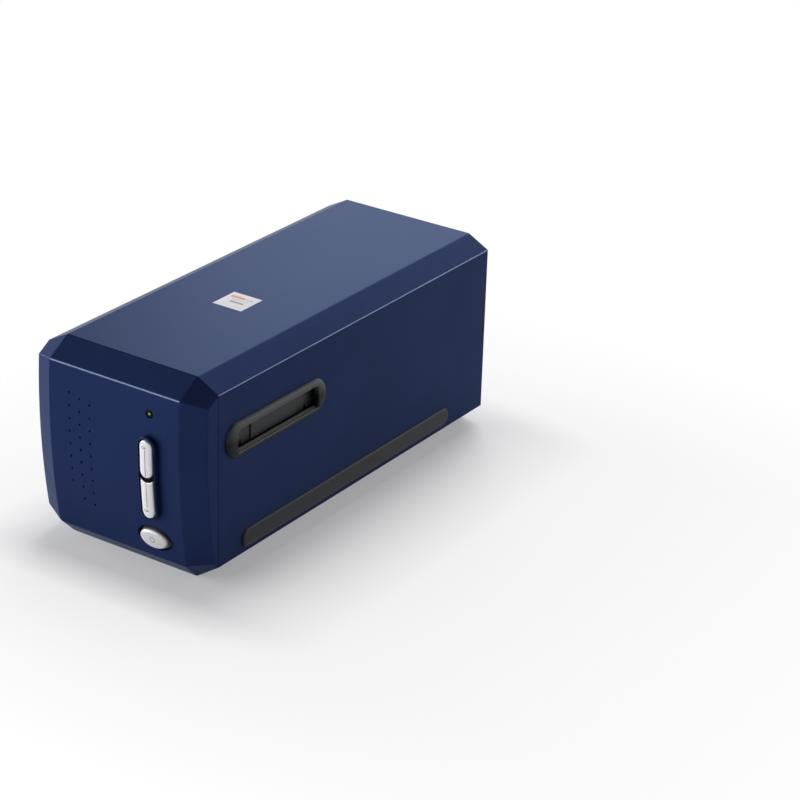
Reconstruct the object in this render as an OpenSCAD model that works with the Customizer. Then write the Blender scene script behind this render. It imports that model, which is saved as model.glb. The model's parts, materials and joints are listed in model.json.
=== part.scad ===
// Film negative scanner: desktop casing with a film slot through it and a
// moving optical carriage inside. Millimetres, +Z up, front towards -Y.
// The origin lies on the table, under the middle of the whole object.

/* [Casing] */
// Width of the casing across its flat sides
case_w = 115; // [112:0.5:124]
// Distance from the front seam to the back edge of the casing
case_len = 256; // [254:1:300]
// Height of the top face over the table
case_top = 118.5; // [116:0.5:135]
// Gap between the table and the underside
case_base = 1; // [0.6:0.1:2]
// Thickness of the moulded walls
wall = 2.4; // [1.8:0.1:2.6]
// Width of the sloping shoulder along the top
shoulder_w = 13.5; // [10:0.5:16]
// Drop of the sloping shoulder
shoulder_h = 7.2; // [5:0.2:10]
// Width of the slope under the sides
keel_w = 14.5; // [12:0.5:15]
// Rise of the slope under the sides
keel_h = 9.8; // [8:0.2:10.6]
// Gap left between casing parts that slide into each other
case_fit = 0.15; // [0.05:0.05:0.3]

/* [Front] */
// Forward reach of the front face before the front seam
nose = 16; // [15:0.5:22]
// Radius of the bulge of the front face
face_r = 400; // [300:10:600]
// Height of the foremost line of the front face
face_z = 80.4; // [75:0.5:86]
// Width of the flat part of the front face
face_w = 88; // [80:1:92]
// Backward run of the slanting cheeks beside the face
cheek_run = 6.8; // [4:0.2:8]
// Drop of the slope above the face
brow_h = 9; // [6:0.2:11]
// Rise of the slope below the face
chin_h = 9.8; // [8:0.2:11]
// Distance of the column of controls from the middle
column_x = 24.4; // [20:0.2:27]
// Diameter of the indicator lens
lens_d = 5; // [3:0.2:6]
// Place of the indicator lens, from the rim of the scan buttons (0) to the brow (1)
lens_share = 0.5; // [0.45:0.01:0.55]
// Number of dimples in each column
dimples = [8, 9, 9];
// Spacing of the dimples
dimple_pitch = 7.5; // [6:0.1:7.6]

/* [Buttons] */
// Half width of the scan buttons
key_r = 4.25; // [3.6:0.05:4.6]
// Height of the upper end of the scan buttons
key_top = 83.4; // [82:0.2:85]
// Height of the lower end of the upper scan button
key_split = 61.6; // [58:0.2:64]
// Height of the lower end of the scan buttons
key_low = 37; // [36:0.2:40]
// Gap round each button
key_gap = 0.25; // [0.15:0.05:0.35]
// Width of the web between the two scan buttons
key_web = 1.2; // [1:0.1:1.6]
// Height of the raised rim round the scan buttons
rim_h = 3.2; // [2:0.1:4.5]
// Wall of the raised rim
rim_wall = 1.25; // [1:0.05:1.6]
// How far the scan buttons stand out of the rim
key_proud = 0.8; // [0.4:0.1:1.2]
// Travel of every button
key_travel = 0.8; // [0.4:0.1:1]
// Half length of the oval power button
power_a = 10.2; // [8:0.1:10.4]
// Half height of the oval power button
power_b = 6.1; // [5:0.1:6.5]
// Height of the middle of the power button
power_z = 23; // [22.4:0.2:24]
// How far the power button stands out of the face
power_proud = 2.2; // [1.4:0.1:2.6]

/* [Film slot] */
// Place of the middle of the slot, measured back from the front seam
slot_back = 49.6; // [48:0.2:54]
// Length of the slot opening
slot_l = 71; // [68:0.5:73]
// Lower edge of the slot opening
slot_z = 73.9; // [73:0.1:75]
// Height of the slot opening
slot_h = 12.9; // [12:0.1:13.5]
// How far the slot bezels stand out of the sides
slot_proud = 2.5; // [1.5:0.1:3.5]
// Clear height inside the film channel
channel_h = 8.4; // [7:0.1:9]
// Diameter of the door pins
door_pin_d = 1.6; // [1.2:0.1:1.7]
// Thickness of the dust doors
door_t = 1.5; // [1.2:0.1:1.5]

/* [Carriage] */
// Travel of the optical carriage
travel = 28; // [24:1:30]
// Diameter of the guide rods
rod_d = 6; // [5:0.5:6]
// Height of the rod axes
rod_z = 22; // [21:0.5:23]
// Distance of the rods from the sides of the casing
rod_side = 18; // [17.5:0.25:18.5]
// Radial clearance of every shaft that turns or slides
run_fit = 0.03; // [0.01:0.01:0.08]
// Height of the optical axis
optic_z = 40; // [38:0.5:42]
// Diameter of the lens barrel
barrel_d = 22; // [18:0.5:24]

/* [Drive] */
// Gear module
gear_m = 0.5; // [0.5:0.1:0.5]
// Teeth of the motor pinion
pinion_n = 12; // [12:1:14]
// Teeth of the large reduction gear
reducer_n = 48; // [44:1:48]
// Teeth of the small reduction gear
small_n = 14; // [13:1:15]
// Teeth of the gear on the belt pulley
pulley_n = 60; // [56:1:60]
// Radius of the middle of the belt round its pulleys
belt_r = 6.5; // [6:0.1:7]
// Width of the motor body
motor_w = 28; // [24:1:28]

/* [Hidden] */
$fn = 48;
smooth = 360;                       // fine enough for the large bulge radii
far = 300;                          // reach of cutting tools, past the whole object

half_w = case_w / 2;
front_y = -(case_len + nose + rim_h + key_proud) / 2;   // foremost point of the buttons
nose_y = front_y + rim_h + key_proud;                   // foremost line of the face
seam_y = nose_y + nose;                                 // front seam
back_y = seam_y + case_len;                             // back edge of the casing
face_z_low = case_base + chin_h;
face_z_high = case_top - brow_h;
edge_x = face_w / 2;
floor_z = case_base + wall;                             // top of the tray floor
keel_z = case_base + keel_h;                            // seam between tray and cover
key_rim_top = key_top + key_gap + rim_wall;
lens_z = key_rim_top + lens_share * (face_z_high - key_rim_top);
rod_x = half_w - rod_side;
frame_x = rod_x - 6.5;                                  // half width of the optical carriage
frame_y0 = seam_y + 48;                                 // its front and rear at its rear stop
frame_y1 = back_y - 60;
slot_y = seam_y + slot_back;
overlap = 0.4;                                          // how far joined solids share material

// y of the front face at height z, for a skin that lies t inside it
function face_y(z, t = 0) =
    nose_y + face_r - sqrt(pow(face_r - t, 2) - pow(z - face_z, 2));
brow_slope = brow_h / (seam_y - face_y(face_z_high));
chin_slope = chin_h / (seam_y - face_y(face_z_low));

// ---------- general helpers ----------

// Extrude a shape drawn in x and z along y
module along_y(y0, y1) translate([0, y1, 0]) rotate([90, 0, 0]) linear_extrude(y1 - y0) children();
// Extrude a shape drawn in y and z along x
module along_x(x0, x1) translate([x0, 0, 0]) rotate([90, 0, 90]) linear_extrude(x1 - x0) children();
module along_z(z0, z1) translate([0, 0, z0]) linear_extrude(z1 - z0) children();
module block(x0, x1, y0, y1, z0, z1) translate([x0, y0, z0]) cube([x1 - x0, y1 - y0, z1 - z0]);
module rod_y(x, z, d, y0, y1) translate([x, y1, z]) rotate([90, 0, 0]) cylinder(d = d, h = y1 - y0);
module rod_z(x, y, d, z0, z1) translate([x, y, z0]) cylinder(d = d, h = z1 - z0);
module both_sides() {
    children();
    mirror([1, 0, 0]) children();
}
module both_ends(y) translate([0, y, 0]) {
    children();
    mirror([0, 1, 0]) children();
}
// Rectangle with round corners, about its middle
module soft_rect(w, h, r) {
    square([w - 2 * r, h], center = true);
    square([w, h - 2 * r], center = true);
    for (sx = [-1, 1], sy = [-1, 1]) translate([sx * (w / 2 - r), sy * (h / 2 - r)]) circle(r);
}
// Upright slot shape between two heights
module upright_pill(r, low, high) {
    translate([-r, low + r]) square([2 * r, high - low - 2 * r]);
    for (z = [low + r, high - r]) translate([0, z]) circle(r);
}
// Screw with a cross recess, its head's top at the origin, pointing down
module screw(d, length) {
    head_r = d * 0.95;
    head_h = d * 0.6;
    recess = d * 0.25;
    difference() {
        union() {
            translate([0, 0, -head_h]) cylinder(r = head_r, h = head_h, $fn = 32);
            translate([0, 0, -length]) cylinder(d = d, h = length, $fn = 32);
        }
        for (turn = [0, 90]) rotate(turn) translate([-head_r * 0.6, -recess / 2, -recess])
            cube([head_r * 1.2, recess, recess * 2]);
    }
}
screw_fit = 0.04;                   // added to a screw's diameter for its hole
screw_d = 3;
small_screw_d = 2.5;
hole_d = screw_d + screw_fit;
small_hole_d = small_screw_d + screw_fit;
head_hole_d = screw_d * 2.1;        // counterbore for a screw head
head_in = 2.2;
head_in_low = 1.8;
blind = 0.3;                        // wall left under a blind hole

// ---------- casing outline ----------

// Cross section of the casing, drawn in x and z, with every side moved in by t
function slope_len(w, h) = sqrt(w * w + h * h);
function slope_top(w, h, t) = w + t * (slope_len(w, h) - w) / h;
function slope_side(w, h, t) = h + t * (slope_len(w, h) - h) / w;
module section(t = 0) {
    w = half_w - t;
    top_x = half_w - slope_top(shoulder_w, shoulder_h, t);
    side_high = case_top - slope_side(shoulder_w, shoulder_h, t);
    low_x = half_w - slope_top(keel_w, keel_h, t);
    side_low = case_base + slope_side(keel_w, keel_h, t);
    polygon([[-low_x, case_base + t], [low_x, case_base + t], [w, side_low], [w, side_high],
        [top_x, case_top - t], [-top_x, case_top - t], [-w, side_high], [-w, side_low]]);
}
module section_ring(t0, t1) difference() {
    section(t0);
    section(t1);
}

// Barrel shaped bulge of the face, t inside its surface
module face_barrel(t) translate([-far / 2, nose_y + face_r, face_z]) rotate([0, 90, 0])
    cylinder(r = face_r - t, h = far, $fn = smooth);
cheek_turn = atan(cheek_run / (half_w - edge_x));
module cheek_barrel(t) translate([edge_x, nose_y, face_z]) rotate([0, 0, cheek_turn])
    translate([-far, face_r / cos(cheek_turn), 0]) rotate([0, 90, 0])
        cylinder(r = face_r / cos(cheek_turn) - t, h = 2 * far, $fn = smooth);
// Everything beyond a plane through p that faces along n, moved in by t
module beyond(p, n, t) translate(p)
    rotate([0, acos(n[2] / norm(n)), atan2(n[1], n[0])])
        translate([-far / 2, -far / 2, -t]) cube([far, far, far]);

// Solid form of the front, from its face back to y = back
module front_form(t, back) difference() {
    intersection() {
        block(t - half_w, half_w - t, nose_y - 1, back, case_base - nose, case_top + nose);
        face_barrel(t);
        cheek_barrel(t);
        mirror([1, 0, 0]) cheek_barrel(t);
    }
    beyond([0, seam_y, case_top], [0, -brow_slope, 1], t);
    beyond([0, seam_y, case_base], [0, -chin_slope, -1], t);
    both_sides() {
        beyond([half_w - shoulder_w, seam_y, case_top], [shoulder_h / shoulder_w, -brow_slope, 1], t);
        beyond([half_w - keel_w, seam_y, case_base], [keel_h / keel_w, -chin_slope, -1], t);
    }
}

// ---------- casing ----------

tongue = 5;                         // depth of the bezel's tongue inside the casing
tongue_t = 1.6;                     // its thickness
panel_in = 0.6;                     // how deep the rear panel sits behind the back edge
panel_y1 = back_y - panel_in;
panel_y0 = panel_y1 - wall;
tab_x = half_w - 19.5;              // cover screws
tab_h = 3;                          // thickness of the cover's screw tabs
tab_z = keel_z + 0.4;
tab_w = 12;
tab_front = seam_y + 48;
tab_back = back_y - 68;
label_w = 19.6;
label_t = 0.12;
label_y = seam_y + 90.6;
strip_z0 = 12.8;                    // lower edge of the side strips
strip_h = 11.6;
strip_l = case_len - 58;
strip_y = seam_y + 20.4 + strip_l / 2;      // middle of the strips
strip_in = 0.6;                     // depth of their recess
strip_proud = 1.4;
strip_end_r = 5;
rear_screw_x = half_w - 11.5;
rear_screw_z = 98;
rear_screw_low_x = half_w - 21.5;
rear_screw_low_z = 9;
boss_len = 12;

module strip_outline(gap = 0) translate([strip_y, strip_z0 + strip_h / 2])
    soft_rect(strip_l + 2 * gap, strip_h + 2 * gap, strip_end_r);
module spigot_outline(gap = 0) translate([slot_y, (spigot_z0 + spigot_z1) / 2])
    square([slot_l + 2 * spigot_t + 2 * gap, spigot_z1 - spigot_z0 + 2 * gap], center = true);

module top_cover() color([0.16, 0.19, 0.33]) difference() {
    union() {
        intersection() {
            along_y(seam_y, back_y) section_ring(0, wall);
            block(-far, far, -far, far, keel_z, far);
        }
        both_sides() {
            for (y = [tab_front, tab_back])
                block(tab_x - post_d / 2, half_w - wall + overlap, y - tab_w / 2, y + tab_w / 2,
                    tab_z, tab_z + tab_h);
            rod_y(rear_screw_x, rear_screw_z, post_d, panel_y0 - boss_len, panel_y0);
            block(rear_screw_x, half_w - wall + overlap, panel_y0 - boss_len, panel_y0,
                rear_screw_z - 1, rear_screw_z + 1);
        }
    }
    both_sides() {
        along_x(half_w - wall - 1, half_w + 1) spigot_outline(case_fit);
        along_x(half_w - strip_in, half_w + 1) strip_outline(0);
        block(half_w - wall - keel_w, half_w - wall, lip_y0 - 1, lip_y1 + lip_l + 1, 0,
            keel_z + keel_h);
        for (y = [tab_front, tab_back])
            rod_z(tab_x, y, hole_d, tab_z - 1, tab_z + tab_h + 1);
        rod_y(rear_screw_x, rear_screw_z, small_hole_d, panel_y0 - boss_len + 2, far);
    }
    block(-label_w / 2, label_w / 2, label_y - label_w / 2, label_y + label_w / 2,
        case_top - label_t, far);
}

// Tray: floor, keels, posts and seats for everything that stands in the casing
post_d = 7;
post_x = half_w - 8;
post_front_y = seam_y + 8.8;
post_back_y = slot_y + 42.4;
channel_t = 2;                      // thickness of the channel's floor and roof
board_z = 52;                       // underside of the main board
board_post_y0 = back_y - 46;
board_post_y1 = back_y - 7;
bezel_tab_x = 26;
bezel_tab_y = seam_y + 7;
bezel_tab_h = 3;
foot_d = 12;
foot_x = half_w - 25.5;
foot_front = seam_y + 24;
foot_back = back_y - 20;
foot_in = 1;                        // depth of the feet's recesses
lip_t = 1.6;                        // tongues of the tray inside the cover's walls
lip_h = 5;
lip_l = 48;
lip_y0 = tab_front + tab_w;
lip_y1 = tab_back - tab_w - lip_l;
axle_boss_d = 10;
axle_boss_h = 1.7;

module posts_at(y_list, x, d, z0, z1) both_sides() for (y = y_list) rod_z(x, y, d, z0, z1);
module bottom_tray() color([0.15, 0.18, 0.30]) difference() {
    union() {
        intersection() {
            along_y(seam_y, back_y) section_ring(0, wall);
            block(-far, far, -far, far, 0, keel_z);
        }
        intersection() {
            along_y(seam_y, back_y) section(1);
            union() {
                posts_at([post_front_y, post_back_y], post_x, post_d, case_base, slot_z - channel_t);
                posts_at([board_post_y0, board_post_y1], post_x, post_d, case_base, board_z);
                posts_at([tab_front, tab_back], tab_x, post_d, case_base, tab_z);
                both_sides() {
                    block(rear_screw_low_x - 4, rear_screw_low_x + 4, panel_y0 - boss_len, panel_y0,
                        case_base, rear_screw_low_z + 4);
                    for (y = [lip_y0, lip_y1])
                        block(half_w - wall - case_fit - lip_t, half_w - wall - case_fit,
                            y, y + lip_l, keel_z - 4, keel_z + lip_h);
                }
                rod_z(drive_x, drive_y, axle_boss_d, case_base, floor_z + axle_boss_h);
                rod_z(reducer_x, reducer_y, axle_boss_d, case_base, floor_z + axle_boss_h);
                block(-2, 2, hook_y - hook_t / 2, hook_y + hook_t / 2, case_base, spring_z + 3);
            }
        }
    }
    posts_at([post_front_y, post_back_y], post_x, small_hole_d, slot_z - channel_t - 8, far);
    posts_at([board_post_y0, board_post_y1], post_x, small_hole_d, board_z - 8, far);
    both_sides() {
        for (y = [tab_front, tab_back]) {
            rod_z(tab_x, y, hole_d, 0, far);
            rod_z(tab_x, y, head_hole_d, 0, case_base + head_in);
        }
        rod_z(bezel_tab_x, bezel_tab_y, hole_d, 0, far);
        rod_z(bezel_tab_x, bezel_tab_y, head_hole_d, 0, case_base + head_in_low);
        rod_y(rear_screw_low_x, rear_screw_low_z, small_hole_d, panel_y0 - boss_len + 2, far);
        for (y = [foot_front, foot_back]) rod_z(foot_x, y, foot_d, 0, case_base + foot_in);
        for (y = [clamp_screw_y0, clamp_screw_y1])
            rod_z(rod_x, y, small_hole_d, case_base + blind, far);
        rod_z(idler_screw_x, idler_screw_y, small_hole_d, case_base + blind, far);
    }
    for (p = bracket_screws) rod_z(p[0], p[1], small_hole_d, case_base + blind, far);
    rod_z(drive_x, drive_y, axle_d, case_base + blind, far);
    rod_z(reducer_x, reducer_y, axle_small_d, case_base + blind, far);
    rod_y(0, spring_z, hook_hole, hook_y - 2, hook_y + 2);
}

// Control outlines in x and z, about the column of controls, grown by g
key_round_z = key_split + key_r;
key_step = 2 * key_gap + key_web;   // distance between the two scan buttons
module upper_key(g = 0) translate([column_x, 0]) upright_pill(key_r + g, key_split - g, key_top + g);
module lower_key(g = 0) translate([column_x, 0]) difference() {
    union() {
        translate([-key_r - g, key_low + key_r])
            square([2 * (key_r + g), key_round_z - key_low - key_r]);
        translate([0, key_low + key_r]) circle(key_r + g);
    }
    translate([0, key_round_z]) circle(key_r + key_step - g, $fn = 96);
}
module key_rim() translate([column_x, 0])
    upright_pill(key_r + key_gap + rim_wall, key_low - key_gap - rim_wall, key_top + key_gap + rim_wall);
oval_points = 96;
module power_oval(g = 0) polygon([for (i = [0:oval_points - 1]) let (a = i * 360 / oval_points)
    [(power_a + g) * cos(a), (power_b + g) * sin(a)]]);
power_tilt = asin((face_z - power_z) / face_r);
module on_face_tilt() translate([column_x, face_y(power_z), power_z]) rotate([power_tilt, 0, 0])
    children();
power_gap = key_gap + 0.25;

// Dimples: three staggered columns, each scooped out on a slant
dimple_x0 = -30.1;
dimple_step_x = 7;
dimple_z = [for (drop = [15.5, 17.4, 19.2]) face_z_high - drop];
dimple_d = 1.3;
dimple_depth = 0.9;
module dimple_cuts() for (c = [0:2], r = [0:dimples[c] - 1]) {
    z = dimple_z[c] - r * dimple_pitch;
    translate([dimple_x0 + c * dimple_step_x, face_y(z), z]) rotate([60, 0, 0])
        cylinder(d = dimple_d, h = 2 * dimple_depth, center = true, $fn = 16);
}

module front_bezel() color([0.17, 0.20, 0.33]) difference() {
    union() {
        difference() {
            front_form(0, seam_y);
            front_form(wall, seam_y + 1);
        }
        intersection() {
            along_y(seam_y - tongue, seam_y) section_ring(wall - overlap, wall + case_fit + tongue_t);
            front_form(wall - overlap, seam_y);
        }
        along_y(seam_y, seam_y + tongue) section_ring(wall + case_fit, wall + case_fit + tongue_t);
        intersection() {
            along_y(front_y - 1, seam_y - tongue) key_rim();
            difference() {
                face_barrel(-rim_h);
                face_barrel(wall / 2);
            }
        }
        for (p = board_posts) rod_y(p[0], p[1], board_post_d, face_y(p[1]) + wall - 1, board_y0);
        both_sides() block(bezel_tab_x - 5, bezel_tab_x + 5, seam_y - 2, bezel_tab_y + 5,
            floor_z + case_fit, floor_z + case_fit + bezel_tab_h);
    }
    along_y(front_y - 1, seam_y - tongue - 1) {
        upper_key(key_gap);
        lower_key(key_gap);
        translate([column_x, lens_z]) circle(d = lens_d + 0.1);
    }
    on_face_tilt() along_y(-power_proud - 1, wall + 2) power_oval(power_gap);
    for (p = board_posts) rod_y(p[0], p[1], small_hole_d, board_y0 - 6, board_y0 + 1);
    both_sides() rod_z(bezel_tab_x, bezel_tab_y, hole_d, 0, far);
    dimple_cuts();
}

vent_n = 7;
vent_w = 2;
vent_h = 24;
vent_step = 5;
vent_x = 11.5 - half_w;
vent_z = 68;
module rear_panel() color([0.15, 0.18, 0.30]) difference() {
    along_y(panel_y0, panel_y1) section(wall + case_fit);
    along_y(panel_y0 - 1, panel_y1 + 1) {
        translate([usb_x, board_top + usb_h / 2]) square([usb_w + 0.2, usb_h + 0.2], center = true);
        translate([jack_x, board_top + jack_h / 2]) circle(d = jack_nose_d + 0.2);
        translate([lock_x, lock_z]) soft_rect(lock_w, lock_h, 1);
        for (i = [0:vent_n - 1]) translate([vent_x + i * vent_step, vent_z + vent_h / 2])
            soft_rect(vent_w, vent_h, vent_w * 0.49);
    }
    both_sides() {
        rod_y(rear_screw_x, rear_screw_z, small_hole_d, panel_y0 - 1, far);
        rod_y(rear_screw_low_x, rear_screw_low_z, small_hole_d, panel_y0 - 1, far);
        rod_y(rear_screw_x, rear_screw_z, small_screw_d * 2.1, panel_y1 - small_screw_d * 0.6, far);
        rod_y(rear_screw_low_x, rear_screw_low_z, small_screw_d * 2.1,
            panel_y1 - small_screw_d * 0.6, far);
    }
}

module rubber_feet() color([0.10, 0.10, 0.11]) both_sides() for (y = [foot_front, foot_back])
    rod_z(foot_x, y, foot_d - 0.2, 0, case_base + foot_in);

plate_w = 56;
plate_l = 34;
plate_t = 0.2;
module rating_plate() color([0.75, 0.76, 0.78]) translate([0, slot_y + plate_l, case_base - plate_t])
    linear_extrude(plate_t) soft_rect(plate_w, plate_l, 2);
module top_label() color([0.93, 0.94, 0.96]) block(-label_w / 2, label_w / 2,
    label_y - label_w / 2, label_y + label_w / 2, case_top - label_t, case_top);

// Rubber strip with a gently domed outer face
module side_strip() intersection() {
    along_x(half_w - strip_in, half_w + strip_proud) strip_outline(-0.05);
    translate([half_w + strip_proud - strip_dome_r, far / 2, strip_z0 + strip_h / 2])
        rotate([90, 0, 0]) cylinder(r = strip_dome_r, h = far, $fn = 96);
}
strip_dome_r = 18;
module side_strip_right() color([0.20, 0.22, 0.24]) side_strip();
module side_strip_left() color([0.20, 0.22, 0.24]) mirror([1, 0, 0]) side_strip();

// ---------- slot bezels and dust doors ----------

rim_r = 10.2;                       // half height of the bezel's pill outline
rim_l = 88;
rim_edge = 4.2;                     // width of its rounded outer edge
rim_x1 = half_w + slot_proud;
slot_mid_z = slot_z + slot_h / 2;
slot_y0 = slot_y - slot_l / 2;
slot_y1 = slot_y + slot_l / 2;
spigot_t = 1.6;
lip_x = half_w - 0.5;               // inner side of the bezel's lip
door_x = half_w - 2.9;              // hinge axis of the dust doors
door_z = slot_z + slot_h + 0.4;
door_barrel_r = 1.3;
pocket_z = door_z + 1.6;            // ceiling of the pocket over the door
spigot_z0 = slot_z - spigot_t;
spigot_z1 = pocket_z + 1.2;
door_reach = door_z - slot_z - 0.5; // from the axis to the door's lower edge
spigot_x0 = door_x - door_reach - 0.8;
door_end_gap = 1.2;
door_panel_l = 40;
door_panel_t = 0.7;
door_panel_top = door_z - 3.8;
door_notch_y = 28.5;
spring_room = 3.2;
slot_corner_r = 2.5;

function quarter(w, h, steps = 9) = [for (i = [0:steps]) let (a = i * 90 / steps)
    [w * cos(a), h * sin(a)]];
module rim_profile() polygon(concat([[0, 0]],
    [for (p = quarter(rim_edge, slot_proud)) [rim_r - rim_edge + p[0], p[1]]], [[0, slot_proud]]));
module slot_bezel() difference() {
    union() {
        translate([half_w, slot_y, slot_mid_z]) {
            for (s = [-1, 1]) translate([0, s * (rim_l / 2 - rim_r), 0]) rotate([0, 90, 0])
                rotate_extrude($fn = 96) rim_profile();
            rotate([90, 0, 0]) translate([0, 0, -rim_l / 2 + rim_r]) linear_extrude(rim_l - 2 * rim_r)
                for (m = [0, 1]) mirror([0, m]) rotate(90) mirror([0, 1]) rim_profile();
        }
        along_x(spigot_x0, half_w) spigot_outline(0);
    }
    along_x(lip_x - 1, rim_x1 + 1) translate([slot_y, slot_mid_z])
        soft_rect(slot_l, slot_h, slot_corner_r);
    block(spigot_x0 - 1, lip_x, slot_y0, slot_y1, slot_z, pocket_z);
    rod_y(door_x, door_z, door_pin_d + 2 * run_fit, slot_y0 - spigot_t - 1, slot_y1 + spigot_t + 1);
}
module slot_bezel_right() color([0.25, 0.26, 0.27]) slot_bezel();
module slot_bezel_left() color([0.25, 0.26, 0.27]) mirror([1, 0, 0]) slot_bezel();

module dust_door() difference() {
    union() {
        block(door_x - door_t / 2, door_x + door_t / 2, slot_y0 + door_end_gap, slot_y1 - door_end_gap,
            door_z - door_reach, door_z - door_barrel_r * 0.5);
        rod_y(door_x, door_z, 2 * door_barrel_r, slot_y0 + door_end_gap, slot_y1 - spring_room);
        block(door_x, door_x + door_t / 2 + door_panel_t, slot_y - door_panel_l / 2,
            slot_y + door_panel_l / 2, door_z - door_reach + 0.6, door_panel_top);
    }
    rod_y(door_x, door_z, door_pin_d + screw_fit, slot_y0, slot_y1);
    block(door_x - 2, door_x + 2, slot_y1 - spring_room, slot_y1, door_z - door_barrel_r - 0.4,
        door_z + 3);
    for (s = [-1, 1]) along_x(door_x - 2, door_x + 2)
        translate([slot_y + s * door_notch_y, door_z - door_reach])
            polygon([[-1.2, -1], [1.2, -1], [0.3, 3.4], [-0.3, 3.4]]);
}
module dust_door_right() color([0.19, 0.20, 0.22]) dust_door();
module dust_door_left() color([0.19, 0.20, 0.22]) mirror([1, 0, 0]) dust_door();
module door_pin() rod_y(door_x, door_z, door_pin_d, slot_y0 - spigot_t + 0.2, slot_y1 + spigot_t - 0.2);
module door_pin_right() color([0.75, 0.76, 0.78]) door_pin();
module door_pin_left() color([0.75, 0.76, 0.78]) mirror([1, 0, 0]) door_pin();

// Wound wire: one unbroken tube of radius w along a helix of radius r about y
coil_sides = 6;
coil_steps = 12;
module coil(r, w, pitch, turns) translate([0, w, 0]) {
    n = turns * coil_steps;
    ring = [for (i = [0:n]) let (a = i * 360 / coil_steps) for (k = [0:coil_sides - 1])
        let (b = k * 360 / coil_sides, q = r + w * cos(b))
            [q * cos(a), i * pitch / coil_steps + w * sin(b), q * sin(a)]];
    sides = [for (i = [0:n - 1], k = [0:coil_sides - 1])
        let (k1 = (k + 1) % coil_sides, a = i * coil_sides, b = a + coil_sides)
            each [[a + k, b + k, b + k1], [a + k, b + k1, a + k1]]];
    ends = concat([for (k = [1:coil_sides - 2]) [0, k, k + 1]],
        [for (k = [1:coil_sides - 2]) [0, k + 1, k] + [1, 1, 1] * n * coil_sides]);
    polyhedron(ring, concat(sides, ends));
}
module door_springs() color([0.75, 0.76, 0.78]) both_sides()
    translate([door_x, slot_y1 - spring_room + 0.4, door_z]) coil(1.15, 0.15, 0.5, 4);

// ---------- control board ----------

board_y0 = seam_y - 2;
board_t = 1.6;
board_half_w = 12.5;
board_low_z = 13;
board_high_z = lens_z + 6.8;
board_post_d = 5;
board_posts = [for (z = [key_low - 4, lens_z - 5.2], s = [-1, 1]) [column_x + s * 9.5, z]];
flange_m = key_gap + 0.45;
flange_gap = 0.3;
flange_t = 1.2;
switch_h = 3.6;
plunger_h = 1.5;
switch_y = board_y0 - switch_h - plunger_h;      // front of the switches' plungers
key_mid = [(key_split + key_top) / 2, (key_low + key_split - key_step) / 2];
stem_d = 3.2;
power_short = 0.8;                  // the power switch's plunger is this much shorter

module button_board() color([0.10, 0.35, 0.20]) difference() {
    block(column_x - board_half_w, column_x + board_half_w, board_y0, board_y0 + board_t,
        board_low_z, board_high_z);
    for (p = board_posts) rod_y(p[0], p[1], small_hole_d, board_y0 - 1, board_y0 + 4);
}
module button_switches() color([0.12, 0.12, 0.13]) {
    for (z = [key_mid[0], key_mid[1], power_z]) {
        block(column_x - 3, column_x + 3, board_y0 - switch_h, board_y0, z - 3, z + 3);
        rod_y(column_x, z, 3.4, z == power_z ? switch_y + power_short : switch_y,
            board_y0 - switch_h + overlap);
    }
    rod_y(column_x, lens_z, 5, board_y0 - 5.4, board_y0);
}
module indicator_lens() color([0.10, 0.25, 0.12]) {
    rod_y(column_x, lens_z, lens_d, face_y(lens_z) + 0.3, board_y0 - 5.6);
    rod_y(column_x, lens_z, lens_d + 2, face_y(lens_z) + wall + 0.2, face_y(lens_z) + wall + 1.2);
}

key_crown_r = 12;
// Rounded front of one scan button, its axis leaning with the face at height z
module key_crown(z) translate([column_x, face_y(z) - rim_h - key_proud + key_crown_r, z])
    rotate([asin((face_z - z) / face_r), 0, 0]) cylinder(r = key_crown_r, h = 80, center = true, $fn = 96);
groove_w = 0.35;
groove_deep = 0.4;
module key_body(z) {
    difference() {
        intersection() {
            along_y(front_y - 1, seam_y) children(0);
            key_crown(z);
            difference() {
                face_barrel(-rim_h - key_proud);
                face_barrel(wall + flange_gap + flange_t / 2);
            }
        }
        difference() {
            along_y(front_y - 1, seam_y) translate([column_x - 0.8, z - far / 2])
                square([groove_w, far]);
            face_barrel(groove_deep - rim_h - key_proud);
        }
    }
    intersection() {
        along_y(front_y, seam_y) children(1);
        difference() {
            face_barrel(wall + flange_gap);
            face_barrel(wall + flange_gap + flange_t);
        }
    }
    rod_y(column_x, z, stem_d, face_y(z) + wall + flange_gap + flange_t / 2, switch_y - key_travel - 0.05);
}
module scan_button_upper() color([0.82, 0.83, 0.84]) key_body(key_mid[0]) {
    upper_key(0);
    upper_key(flange_m);
}
module scan_button_lower() color([0.82, 0.83, 0.84]) key_body(key_mid[1]) {
    lower_key(0);
    lower_key(flange_m);
}
power_fall = 1.3;                   // drop of the crown at the ends of the oval
power_dome_r = (power_a * power_a + power_fall * power_fall) / (2 * power_fall);
module power_button() color([0.82, 0.83, 0.84]) {
    on_face_tilt() {
        intersection() {
            along_y(-power_proud, wall + flange_gap + flange_t) power_oval(0);
            translate([0, power_dome_r - power_proud, 0]) sphere(r = power_dome_r, $fn = 180);
        }
        along_y(wall + flange_gap, wall + flange_gap + flange_t) power_oval(power_gap + 0.5);
    }
    rod_y(column_x, power_z, stem_d, face_y(power_z) + wall + flange_gap + flange_t / 2,
        switch_y + power_short - key_travel - 0.05);
}

// ---------- film channel ----------

channel_x = spigot_x0 - 1.5;        // half length of the channel's plates
channel_side = slot_l / 2 + 2.8;    // from the slot's middle to the outer side of the rails
ear_side = 45.6;
ear_x0 = channel_x - 6.5;
ear_x1 = half_w - wall - 2.2;
window_x = 19.5;
window_y = 14.5;
rail_screw_x = channel_x - 3.3;
rail_screw_y = 41.2;
channel_top = slot_z + channel_h;
spring_t = 0.3;
spring_x = window_x + 7.5;

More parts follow.
